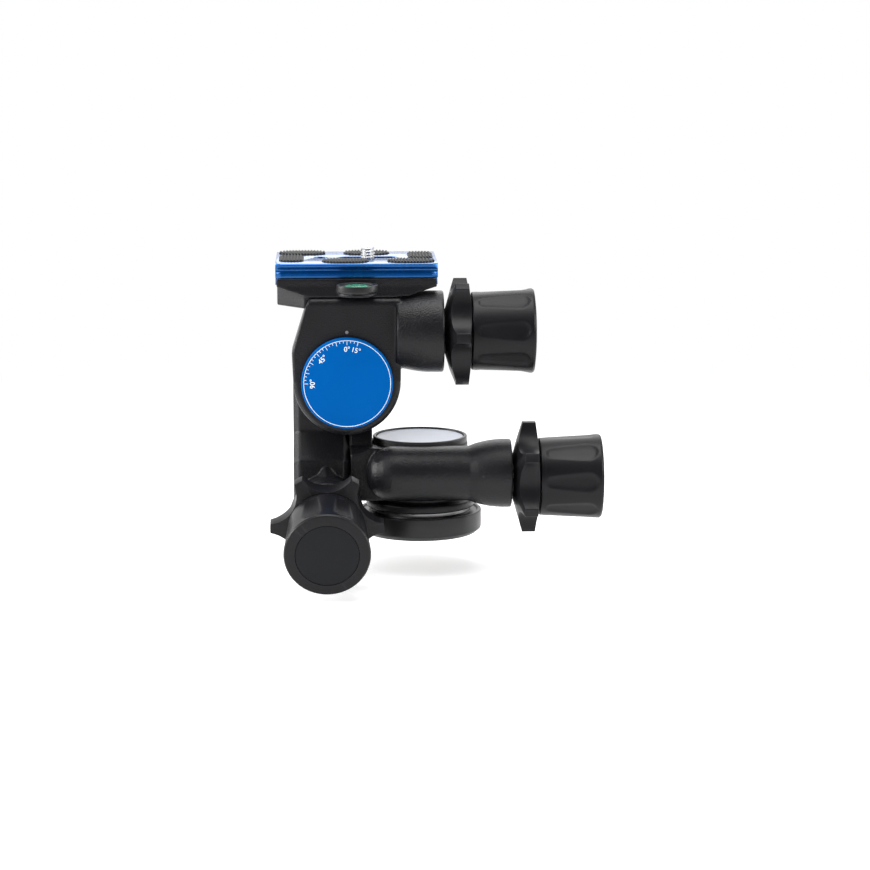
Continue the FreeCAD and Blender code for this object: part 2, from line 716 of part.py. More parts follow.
def upper_housing():
    """The casting that tilts sideways, with its barrel, and the inlaid index dot."""
    corners = [
        ("side_place - housing_radius", "side_height"),
        ("side_place - housing_radius - 0.5", "side_height + 13"),
        ("side_place - 15.6", "housing_top"),
        ("side_place + housing_radius", "housing_top"),
        ("side_place + housing_radius", "side_height"),
    ]
    depth = "housing_back - housing_front"
    block = padded("housing_block", "XZ_Plane", corners, "-housing_back", depth)
    disc = cylinder("housing_disc", "housing_radius", depth, along(side_axis, value("housing_front")))
    joint = value("side_place + housing_radius - 2 - side_place")
    shoulder = cone("housing_shoulder", "15.5", "17.7", "12.5", along(side_drive, joint))
    lip = cylinder("housing_lip", "17.7", f"{SIDE_END} - housing_radius - 10.5", along(side_drive, joint + 12.5))
    body = fused("housing_casting", [block, disc, shoulder, lip])
    cavity_place = along(side_axis, value("side_worm_depth - wheel_width / 2 - 0.7"))
    cavity = cylinder("housing_cavity", "gear_module * side_teeth / 2 + 1.6", "30", cavity_place)
    pin_hole = cylinder("housing_pin_hole", "axle_radius + fit_gap", "30", along(side_axis, -40))
    bore = drive_bore("housing_bore", SIDE_END, side_drive)
    seat = ring_seat("housing_ring_seat", SIDE_END, "17.7", side_drive)
    dot_place = frame((value("side_place"), value("housing_front"), value("side_height + 21.8")), X_AXIS, -Y_AXIS)
    dot_hole = cylinder("dot_hole", "0.9", "1.4", along(dot_place, -1.4))
    bolts = clamp_bolt_places()
    bolt_holes = [
        cylinder(f"housing_bolt_hole_{i}", "1.52", "12", at(x, y, "housing_top - 6.5"))
        for i, (x, y) in enumerate(bolts)
    ]
    keep(cut("housing_case", body, [cavity, pin_hole, bore, seat, dot_hole] + bolt_holes), "upper_housing")
    keep(cylinder("dot", "0.9", "1.7"), "index_mark", along(dot_place, -1.4))


def clamp_bolt_places():
    """Where the two clamp bolts stand, as pairs of formulas."""
    return [("side_place - 11", "side_worm_depth"), ("side_place + 19", "side_worm_depth")]


def clamp():
    """The tapered bed with its fixed jaw and level tab, the sliding jaw and its screw."""
    low_corners = [
        ("side_place - 16", "-26"),
        ("side_place + 25", "-26"),
        ("side_place + 25", "17"),
        ("side_place - 16", "17"),
    ]
    left = "clamp_middle - clamp_length / 2"
    right = "clamp_middle + clamp_length / 2"
    front = "-clamp_depth / 2"
    back = "clamp_depth / 2"
    high_corners = [(left, front), (right, front), (right, back), (left, back)]
    bed = doc.addObject("PartDesign::Body", "clamp_bed_body")
    low = outline(bed, "clamp_low", "XY_Plane", low_corners, "housing_top")
    high = outline(bed, "clamp_high", "XY_Plane", high_corners, "clamp_bed")
    taper = bed.newObject("PartDesign::AdditiveLoft", "clamp_taper")
    taper.Profile = low
    taper.Sections = [high]
    taper.Ruled = True
    bed.Tip = taper
    jaw_corners = [
        (front, "clamp_bed"),
        (front, "clamp_top"),
        ("-dovetail_half - 0.1", "clamp_top"),
        ("-dovetail_half - dovetail_undercut - 0.1", "clamp_bed + 0.2"),
        ("-dovetail_half - dovetail_undercut - 0.1", "clamp_bed"),
    ]
    fixed_jaw = padded("fixed_jaw", "YZ_Plane", jaw_corners, left, "clamp_length")
    wing_corners = [
        (left, "-10"),
        ("side_place - 18.2", "-24"),
        ("side_place - 18.2", "17"),
        (f"{left} + 6", "17"),
        (left, "11"),
    ]
    wing = padded("clamp_wing", "XY_Plane", wing_corners, "housing_top - 5", "clamp_bed - housing_top + 5")
    tab = cylinder("level_tab", "level_radius + 0.7", "3", at("clamp_middle", "level_depth", "housing_top + 0.2"))
    tab_neck = box(
        "level_tab_neck",
        ("clamp_middle - level_radius - 0.7", "clamp_middle + level_radius + 0.7"),
        ("level_depth", "-24"),
        ("housing_top + 0.2", "housing_top + 3.2"),
    )
    boss = box("screw_boss", ("clamp_middle - 7", "clamp_middle + 7"), ("-9.4", "17"), ("housing_top - 8", "housing_top + 1"))
    body = fused("clamp_casting", [bed, fixed_jaw, wing, tab, tab_neck, boss])
    barrel_room = cylinder("clamp_barrel_room", "17.85", "40", along(side_drive, value("housing_radius - 2")))
    screw_axis = frame((value("clamp_middle"), 0, value("housing_top - 3")), Z_AXIS, Y_AXIS)
    screw_hole = cylinder("clamp_screw_hole", "2.6", "20", screw_axis)
    cutters = [barrel_room, screw_hole]
    for i, (x, y) in enumerate(clamp_bolt_places()):
        cutters.append(cylinder(f"clamp_bolt_hole_{i}", "1.52", "20", at(x, y, "housing_top - 8")))
        cutters.append(cylinder(f"clamp_bolt_seat_{i}", "2.7", "6", at(x, y, "housing_top + 2")))
    keep(cut("clamp_base_body", body, cutters), "clamp_base")
    bolts = [
        screw(f"clamp_bolt_{i}", "2.5", "1.5", "8", at(x, y, "housing_top + 2"))
        for i, (x, y) in enumerate(clamp_bolt_places())
    ]
    keep(group("clamp_bolt_set", bolts), "clamp_bolts")
    slide_corners = [
        ("dovetail_half + 0.1", "clamp_top"),
        ("dovetail_half + dovetail_undercut + 0.1", "clamp_bed + 0.3"),
        ("28", "clamp_bed + 0.3"),
        ("28", "clamp_top"),
    ]
    slide = padded("jaw_slide", "YZ_Plane", slide_corners, left, "clamp_length")
    leaf_corners = [("25.4", "housing_top - 9"), ("30", "housing_top - 9"), ("30", "clamp_top"), ("25.4", "clamp_top")]
    leaf = padded("jaw_leaf", "YZ_Plane", leaf_corners, "clamp_middle - 11", "22")
    jaw_hole = cylinder("jaw_screw_hole", "2.54", "20", along(screw_axis, 20))
    keep(cut("jaw_body", fused("jaw_casting", [slide, leaf]), [jaw_hole]), "clamp_jaw")
    screw_corners = [("0", "3"), ("2.5", "3"), ("2.5", "40"), ("0", "40")]
    keep(turned("clamp_screw_body", screw_corners), "clamp_screw", screw_axis)
    knob_corners = [
        ("2.5", "30.4"),
        ("6", "30.4"),
        ("7", "32.5"),
        ("10", "33.5"),
        ("10.5", "43"),
        ("9", "44.2"),
        ("0", "44.2"),
        ("0", "40"),
        ("2.5", "40"),
    ]
    hand_knob = turned("clamp_knob_body", knob_corners)
    hollow = FreeCAD.Placement(FreeCAD.Vector(12.6, 0, 33), FreeCAD.Rotation())
    scalloped(hand_knob, "clamp_knob", 6, "3.4", "14", hollow)
    keep(hand_knob, "clamp_knob", screw_axis)


def level():
    """The round level: a cup, its liquid and a domed glass."""
    place = at("clamp_middle", "level_depth", "housing_top + 3.2")
    cup_corners = [
        ("0", "0"),
        ("level_radius", "0"),
        ("level_radius", "3.4"),
        ("level_radius - 0.5", "3.9"),
        ("level_radius - 1.6", "3.9"),
        ("level_radius - 1.6", "1"),
        ("0", "1"),
    ]
    keep(turned("cup_body", cup_corners), "level_cup", place)
    vial_corners = [("0", "1"), ("level_radius - 1.65", "1"), ("level_radius - 1.65", "2.6"), ("0", "2.6")]
    keep(turned("vial_body", vial_corners), "level_vial", place)
    lens_corners = [
        ("0", "2.62"),
        ("level_radius - 1.65", "2.62"),
        ("level_radius - 1.65", "3.3"),
        ("level_radius - 3.6", "3.7"),
        ("0", "3.8"),
    ]
    keep(turned("lens_body", lens_corners), "level_lens", place)


def plate():
    """The quick-release plate with its grooved sides and dovetail, its pads, washer and camera screw."""
    half = "plate_depth / 2"
    side = [
        (half, "plate_bottom"),
        (half, "plate_bottom + 1.9"),
        (f"{half} - 1.3", "plate_bottom + 2.7"),
        (f"{half} - 1.3", "plate_top - 1.7"),
        (half, "plate_top - 1.1"),
        (half, "plate_top - 0.3"),
        (f"{half} - 0.3", "plate_top"),
    ]
    tail = [
        ("dovetail_half + dovetail_undercut - 0.2", "clamp_bed + 0.4"),
        ("dovetail_half - 0.2", "plate_bottom"),
    ]
    right_side = tail + side
    left_side = [(f"-({y})", z) for y, z in reversed(right_side)]
    start = "clamp_middle - plate_length / 2"
    blank = padded("plate_blank", "YZ_Plane", right_side + left_side, start, "plate_length")
    slot_y = ("-3.4", "3.4")
    slot = box("plate_slot", ("slot_place - slot_half", "slot_place + slot_half"), slot_y, ("plate_top - 8", "plate_top + 1"))
    room = box(
        "plate_recess",
        ("slot_place - slot_half - 4.5", "slot_place + slot_half + 6.5"),
        ("-9", "9"),
        ("clamp_bed", "plate_top - 3.2"),
    )
    pin_hole = cylinder("plate_pin_hole", "2.6", "20", at("clamp_middle - 15.4", 0, "clamp_bed"))
    keep(cut("plate_body", blank, [slot, room, pin_hole]), "plate")
    keep(group("pad_set", pads()), "plate_pads")
    washer_corners = [
        ("camera_thread_radius + fit_gap", "plate_top - 4.7"),
        ("8.2", "plate_top - 4.7"),
        ("8.2", "plate_top - 3.3"),
        ("camera_thread_radius + fit_gap", "plate_top - 3.3"),
    ]
    place = at("slot_place")
    keep(turned("screw_washer_body", washer_corners), "screw_washer", place)
    screw_corners = [
        ("0", "clamp_bed + 0.9"),
        ("7.4", "clamp_bed + 0.9"),
        ("7.8", "clamp_bed + 1.3"),
        ("7.8", "plate_top - 4.8"),
        ("camera_shank_radius", "plate_top - 4.8"),
        ("camera_shank_radius", "plate_top + 0.4"),
        ("camera_thread_radius", "plate_top + 0.4"),
        ("camera_thread_radius", "plate_top + 4.4"),
        ("camera_thread_radius - 0.6", "plate_top + 5"),
        ("0", "plate_top + 5"),
    ]
    keep(turned("camera_screw_body", screw_corners), "camera_screw", place)


def pads():
    """Six ribbed pads: three behind and the same three turned half round in front."""
    behind = [((-33.9, -13.4), (7.0, 23.5)), ((-5.4, 15.0), (7.0, 23.5)), ((22.8, 33.6), (-4.5, 23.5))]
    spans = behind + [((-x[1], -x[0]), (-y[1], -y[0])) for x, y in behind]
    pieces = []
    pitch = 1.9
    for i, (x, y) in enumerate(spans):
        across = (f"clamp_middle + ({x[0]})", f"clamp_middle + ({x[1]})")
        base_pad = box(f"pad_{i}", across, (str(y[0]), str(y[1])), ("plate_top", "plate_top + pad_height - 0.4"))
        count = int((y[1] - y[0]) / pitch)
        ribs = [base_pad]
        for k in range(count):
            low = y[0] + (k + 0.25) * pitch
            rib_y = (str(round(low, 3)), str(round(low + 1.0, 3)))
            rib_z = ("plate_top + pad_height - 0.5", "plate_top + pad_height")
            ribs.append(box(f"pad_{i}_rib_{k}", across, rib_y, rib_z))
        pieces.append(fused(f"pad_{i}_ribbed", ribs))
    return pieces


def check_and_export():
    """Stops on any failed or bad shape, then writes one file for each sub-part."""
    doc.recompute()
    for thing in doc.Objects:
        if "Invalid" in thing.State or "Error" in thing.State:
            raise RuntimeError(f"{thing.Name} failed: {thing.State}")
    facets = 0
    for node in nodes:
        shape = node.Shape
        if shape.isNull() or not shape.isValid() or not shape.Solids:
            raise RuntimeError(f"{node.Label} has no good shape")
        facets += len(shape.tessellate(0.1)[1])
        print(f"{node.Label:20} solids {len(shape.Solids)} volume {shape.Volume / 1000:.2f} cm3")
        shape.exportStep(os.path.join("parts", node.Label + ".step"))
    print(f"{len(nodes)} sub-parts, about {facets} facets")


base()
pan_housing()
pan_dial()
drive("pan", PAN_END, "pan_flare_radius", pan_drive)
front_tilt()
arm()
drive("tilt", TILT_END, "16.2", tilt_drive)
side_tilt()
upper_housing()
drive("side", SIDE_END, "17.7", side_drive)
clamp()
level()
plate()
check_and_export()
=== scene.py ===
"""Visual model of a geared tripod head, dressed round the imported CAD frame.

Sizes in the classes are millimetres in the head's own frame: +X to the right towards the pan knob,
+Y away from the camera, +Z up the pan axis, with the origin at the middle of the foot's underside.
Every mesh is scaled to metres when it is made. A drive has its own frame: Z runs along the worm
towards the knob and X points from the worm to its wheel.
"""

import logging
import math
from dataclasses import dataclass, field
from enum import Enum
from typing import Callable, Optional, Sequence

import bmesh
import bpy
from mathutils import Matrix, Vector

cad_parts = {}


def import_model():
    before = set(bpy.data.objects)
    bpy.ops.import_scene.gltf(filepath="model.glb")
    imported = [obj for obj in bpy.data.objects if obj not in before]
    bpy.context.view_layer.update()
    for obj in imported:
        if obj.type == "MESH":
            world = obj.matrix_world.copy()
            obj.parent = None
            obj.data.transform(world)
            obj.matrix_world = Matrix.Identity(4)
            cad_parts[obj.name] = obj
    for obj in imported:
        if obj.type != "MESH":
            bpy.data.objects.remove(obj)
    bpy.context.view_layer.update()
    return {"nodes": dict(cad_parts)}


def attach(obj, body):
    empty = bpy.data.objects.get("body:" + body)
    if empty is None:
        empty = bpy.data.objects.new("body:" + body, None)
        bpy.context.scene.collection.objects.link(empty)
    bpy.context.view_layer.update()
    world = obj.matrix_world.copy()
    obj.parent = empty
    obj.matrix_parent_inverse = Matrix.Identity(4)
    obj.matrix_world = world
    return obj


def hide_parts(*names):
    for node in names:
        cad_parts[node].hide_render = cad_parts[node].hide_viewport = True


log = logging.getLogger("geared_head")

MM = 0.001
POLE = 1e-7
CUT_PAST = 60.0
DRIVE_ROOM = (6.5, -12.5)
RING_SEAT = 2.98
AXLE_ROOM = 5.04
BARREL_SIDES = 96
BORE_SIDES = 48
SEAT_SIDES = 72
Point2 = tuple[float, float]
Point3 = tuple[float, float, float]
Colour = tuple[float, float, float]
Rim = Callable[[float, float, float], float]


class Pattern(Enum):
    """How the fine relief of a finish lies on the surface."""

    SAND = "even grain of a sprayed or etched surface"
    BRUSHED = "fine lines along X"
    TURNED = "rings round the axis of the piece"


class Slot(Enum):
    """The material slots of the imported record."""

    BLACK_PAINT = "black_paint"
    DARK_GREY = "dark_grey"
    STEEL = "steel"
    BRASS = "brass"
    BLUE = "blue_anodised"
    PALE_DIAL = "pale_dial"
    RUBBER = "rubber"
    GREEN_LIQUID = "green_liquid"
    CLEAR_GLASS = "clear_glass"
    WHITE_PAINT = "white_paint"


class TreeWriter:
    """Adds nodes to a node tree and links them."""

    def __init__(self, tree: bpy.types.NodeTree) -> None:
        """Keeps the tree, emptied.

        Args:
            tree: the node tree to write in.
        """
        self.tree = tree
        self.count = 0
        tree.nodes.clear()

    def add(self, kind: str, inputs: Optional[dict] = None, **settings: object) -> bpy.types.Node:
        """Adds a node.

        Args:
            kind: the node's type name.
            inputs: values or output sockets for its inputs, by socket name or index.
            settings: attributes of the node itself.

        Returns:
            The new node.
        """
        node = self.tree.nodes.new(kind)
        node.location = (190 * self.count, -60 * (self.count % 4))
        self.count += 1
        for name, setting in settings.items():
            setattr(node, name, setting)
        for name, entry in (inputs or {}).items():
            if isinstance(entry, bpy.types.NodeSocket):
                self.tree.links.new(entry, node.inputs[name])
            else:
                node.inputs[name].default_value = entry
        return node

    def math(self, operation: str, first: object, second: object = 0.0) -> bpy.types.NodeSocket:
        """Adds a Math node and returns its output.

        Args:
            operation: the operation's name.
            first: the first number or socket.
            second: the second number or socket.

        Returns:
            The result's socket.
        """
        kind = "ShaderNodeMath"
        return self.add(kind, {0: first, 1: second}, operation=operation).outputs[0]


@dataclass(frozen=True)
class Finish:
    """A surface finish with its colour change, roughness change and relief."""

    name: str
    slot: Slot
    dark: Colour
    light: Colour
    roughness: Point2 = (0.45, 0.6)
    metallic: float = 0.0
    grain: float = 0.35
    relief: float = 0.02
    blotch: float = 14.0
    blotch_share: float = 0.55
    coat: float = 0.0
    coat_roughness: float = 0.1
    # how much edges are lightened: partly edge wear, partly a painted highlight
    edge_wear_and_highlight: float = 0.0
    transmission: float = 0.0
    ior: float = 1.45
    specular: float = 0.5
    pattern: Pattern = Pattern.SAND

    def material(self, turned_about: Optional[Matrix] = None) -> bpy.types.Material:
        """Makes the material, or returns the one made before.

        Args:
            turned_about: the frame whose Z is the axis of turned rings, in millimetres.

        Returns:
            The material.
        """
        label = self.name
        if turned_about is not None:
            spot = turned_about.to_translation()
            label += "_{:.0f}_{:.0f}_{:.0f}".format(*spot)
        made = bpy.data.materials.get(label)
        if made is not None:
            return made
        made = bpy.data.materials.new(label)
        made.use_nodes = True
        tree = TreeWriter(made.node_tree)
        place = self._coordinates(tree, turned_about)
        coarse = 1 / (self.blotch * MM)
        blotches = tree.add("ShaderNodeTexNoise", {"Vector": place, "Scale": coarse, "Detail": 3.0})
        grain = self._grain(tree, place)
        from_blotches = tree.math("MULTIPLY", blotches.outputs[0], self.blotch_share)
        from_grain = tree.math("MULTIPLY", grain, 1 - self.blotch_share)
        share = tree.math("ADD", from_blotches, from_grain)
        ends = {"Factor": share, 6: (*self.dark, 1), 7: (*self.light, 1)}
        colour = tree.add("ShaderNodeMix", ends, data_type="RGBA").outputs[2]
        # painted edge highlight, partly edge wear: a lighter colour where the surface bends over an edge
        if self.edge_wear_and_highlight > 0:
            colour = self._wear_and_painted_highlight(tree, colour)
        smooth, rough = self.roughness
        spread = {"Value": share, "From Min": 0.3, "From Max": 0.7, "To Min": smooth, "To Max": rough}
        ramp = tree.add("ShaderNodeMapRange", spread)
        bump = tree.add("ShaderNodeBump", {"Height": grain, "Strength": 1.0, "Distance": self.relief * MM})
        shader = tree.add(
            "ShaderNodeBsdfPrincipled",
            {
                "Base Color": colour,
                "Roughness": ramp.outputs[0],
                "Metallic": self.metallic,
                "Normal": bump.outputs[0],
                "Coat Weight": self.coat,
                "Coat Roughness": self.coat_roughness,
                "Transmission Weight": self.transmission,
                "IOR": self.ior,
                "Specular IOR Level": self.specular,
            },
        )
        tree.add("ShaderNodeOutputMaterial", {"Surface": shader.outputs[0]})
        return made

    def _coordinates(self, tree: TreeWriter, turned_about: Optional[Matrix]) -> bpy.types.NodeSocket:
        """Object coordinates, in the turning axis' own frame where there is one."""
        plain = tree.add("ShaderNodeTexCoord").outputs["Object"]
        if turned_about is None:
            return plain
        back = turned_about.inverted()
        spot = back.to_translation() * MM
        turn = back.to_euler()
        return tree.add("ShaderNodeMapping", {"Vector": plain, "Location": spot, "Rotation": turn}).outputs[0]

    def _grain(self, tree: TreeWriter, place: bpy.types.NodeSocket) -> bpy.types.NodeSocket:
        """The fine relief as a number between 0 and 1."""
        scale = 1 / (self.grain * MM)
        if self.pattern is Pattern.SAND:
            return tree.add("ShaderNodeTexNoise", {"Vector": place, "Scale": scale, "Detail": 2.0}).outputs[0]
        if self.pattern is Pattern.BRUSHED:
            drawn = tree.add("ShaderNodeMapping", {"Vector": place, "Scale": (0.03, 1.0, 1.0)}).outputs[0]
            return tree.add("ShaderNodeTexNoise", {"Vector": drawn, "Scale": scale, "Detail": 3.0}).outputs[0]
        parts = tree.add("ShaderNodeSeparateXYZ", {"Vector": place})
        flat = tree.add("ShaderNodeCombineXYZ", {"X": parts.outputs[0], "Y": parts.outputs[1]}).outputs[0]
        reach = tree.add("ShaderNodeVectorMath", {0: flat}, operation="LENGTH").outputs["Value"]
        across = tree.add("ShaderNodeCombineXYZ", {"X": reach, "Y": parts.outputs[2]}).outputs[0]
        return tree.add("ShaderNodeTexNoise", {"Vector": across, "Scale": scale, "Detail": 3.0}).outputs[0]

    def _wear_and_painted_highlight(self, tree: TreeWriter, colour: bpy.types.NodeSocket) -> bpy.types.NodeSocket:
        """Lightens the colour where the surface turns over an edge: partly edge wear, partly a painted
        highlight along the edge.
        """
        bend = tree.add("ShaderNodeNewGeometry").outputs["Pointiness"]
        span = {"Value": bend, "From Min": 0.52, "From Max": 0.62, "To Max": self.edge_wear_and_highlight}
        edge = tree.add("ShaderNodeMapRange", span)
        wear_and_highlight_colour = tuple(min(1.0, channel * 5 + 0.02) for channel in self.light)
        mix = tree.add(
            "ShaderNodeMix",
            {"Factor": edge.outputs[0], 6: colour, 7: (*wear_and_highlight_colour, 1)},
            data_type="RGBA",
        )
        return mix.outputs[2]


# The castings, turned pieces and grips get lighter edges: partly wear, partly a painted highlight.
CAST_BLACK = Finish(
    "cast_black", Slot.BLACK_PAINT, (0.0035, 0.0035, 0.0043), (0.010, 0.010, 0.012),
    roughness=(0.28, 0.4), grain=0.6, relief=0.2, edge_wear_and_highlight=0.2, specular=0.3,
)
TURNED_BLACK = Finish(
    "turned_black", Slot.BLACK_PAINT, (0.006, 0.006, 0.0068), (0.013, 0.013, 0.0145),
    roughness=(0.3, 0.42), grain=0.25, relief=0.006, pattern=Pattern.TURNED, edge_wear_and_highlight=0.2, specular=0.4,
)
GRIP_GREY = Finish(
    "grip_grey", Slot.DARK_GREY, (0.0045, 0.0043, 0.0052), (0.0085, 0.0082, 0.0098),
    roughness=(0.32, 0.42), grain=0.3, relief=0.01, edge_wear_and_highlight=0.12, specular=0.22,
)
CAP_DARK = Finish(
    "cap_dark", Slot.DARK_GREY, (0.0030, 0.0035, 0.0050), (0.0050, 0.0056, 0.0078),
    roughness=(0.42, 0.52), grain=0.25, relief=0.006, specular=0.2,
)
BLUE_METAL = Finish(
    "blue_metal", Slot.BLUE, (0.0, 0.06, 0.23), (0.0, 0.115, 0.37),
    roughness=(0.22, 0.3), metallic=0.7, grain=0.2, relief=0.0012, coat=0.5, coat_roughness=0.1,
    pattern=Pattern.BRUSHED,
)
BLUE_DIAL = Finish(
    "blue_dial", Slot.BLUE, (0.0, 0.090, 0.35), (0.0, 0.112, 0.42),
    roughness=(0.35, 0.45), grain=0.2, relief=0.003, pattern=Pattern.TURNED, specular=0.03,
)
STEEL = Finish(
    "steel", Slot.STEEL, (0.26, 0.26, 0.27), (0.46, 0.46, 0.47),
    roughness=(0.2, 0.32), metallic=1.0, grain=0.2, relief=0.006,
)
BRASS = Finish(
    "brass", Slot.BRASS, (0.38, 0.24, 0.07), (0.56, 0.38, 0.14),
    roughness=(0.24, 0.36), metallic=1.0, grain=0.25, relief=0.006,
)
RUBBER = Finish(
    "rubber", Slot.RUBBER, (0.008, 0.008, 0.008), (0.020, 0.020, 0.020),
    roughness=(0.7, 0.85), grain=0.3, relief=0.02, specular=0.2,
)
PALE_DIAL = Finish(
    "pale_dial", Slot.PALE_DIAL, (0.43, 0.46, 0.54), (0.56, 0.59, 0.67),
    roughness=(0.3, 0.42), metallic=0.2, grain=0.2, relief=0.003, pattern=Pattern.TURNED,
)
WHITE_INK = Finish(
    "white_ink", Slot.WHITE_PAINT, (0.78, 0.84, 0.88), (0.9, 0.94, 0.96),
    roughness=(0.5, 0.6), grain=0.2, relief=0.004,
)
DOT_GREY = Finish(
    "dot_grey", Slot.WHITE_PAINT, (0.16, 0.16, 0.17), (0.26, 0.26, 0.27),
    roughness=(0.5, 0.6), grain=0.2, relief=0.004,
)
BLACK_INK = Finish(
    "black_ink", Slot.BLACK_PAINT, (0.012, 0.012, 0.012), (0.024, 0.024, 0.024),
    roughness=(0.5, 0.6), grain=0.2, relief=0.004,
)
LEVEL_GREEN = Finish(
    "level_green", Slot.GREEN_LIQUID, (0.01, 0.16, 0.09), (0.03, 0.27, 0.16),
    roughness=(0.3, 0.4), grain=0.8, relief=0.002, specular=0.1,
)
BUBBLE_PALE = Finish(
    "bubble_pale", Slot.GREEN_LIQUID, (0.05, 0.26, 0.16), (0.08, 0.36, 0.24),
    roughness=(0.3, 0.4), grain=0.8, relief=0.002, specular=0.1,
)
LEVEL_GLASS = Finish(
    "level_glass", Slot.CLEAR_GLASS, (0.82, 0.95, 0.88), (0.92, 0.99, 0.95),
    roughness=(0.02, 0.06), grain=0.8, relief=0.001, transmission=1.0, ior=1.03,
)


def frame_at(origin: Sequence[float], x_axis: Sequence[float], z_axis: Sequence[float]) -> Matrix:
    """A frame from its origin and two of its axes.

    Args:
        origin: its place in millimetres.
        x_axis: its X direction.
        z_axis: its Z direction.

    Returns:
        The 4 by 4 matrix of the frame.
    """
    across = Vector(x_axis).normalized()
    up = Vector(z_axis).normalized()
    side = up.cross(across)
    turn = Matrix((across, side, up)).transposed().to_4x4()
    return Matrix.Translation(Vector(origin)) @ turn


def rounded(corners: Sequence[tuple], closed: bool = True, steps: int = 5) -> list[Point2]:
    """Rounds the corners of an outline.

    Args:
        corners: (a, b) or (a, b, radius) for each corner.
        closed: whether the outline joins its first corner.
        steps: how many edges a rounded corner gets.

    Returns:
        The outline with an arc at each corner that has a radius.
    """
    points = []
    count = len(corners)
    for i, corner in enumerate(corners):
        here = Vector(corner[:2])
        radius = corner[2] if len(corner) > 2 else 0.0
        at_end = not closed and i in (0, count - 1)
        if radius <= 0 or at_end:
            points.append((here.x, here.y))
            continue
        before = (Vector(corners[i - 1][:2]) - here).normalized()
        after = (Vector(corners[(i + 1) % count][:2]) - here).normalized()
        half = before.angle(after) / 2
        reach = radius / math.tan(half)
        middle = here + (before + after).normalized() * (radius / math.sin(half))
        start = here + before * reach - middle
        turn = start.angle_signed(here + after * reach - middle)
        for k in range(steps + 1):
            spoke = start.copy()
            spoke.rotate(Matrix.Rotation(-turn * k / steps, 2))
            points.append((middle.x + spoke.x, middle.y + spoke.y))
    return points


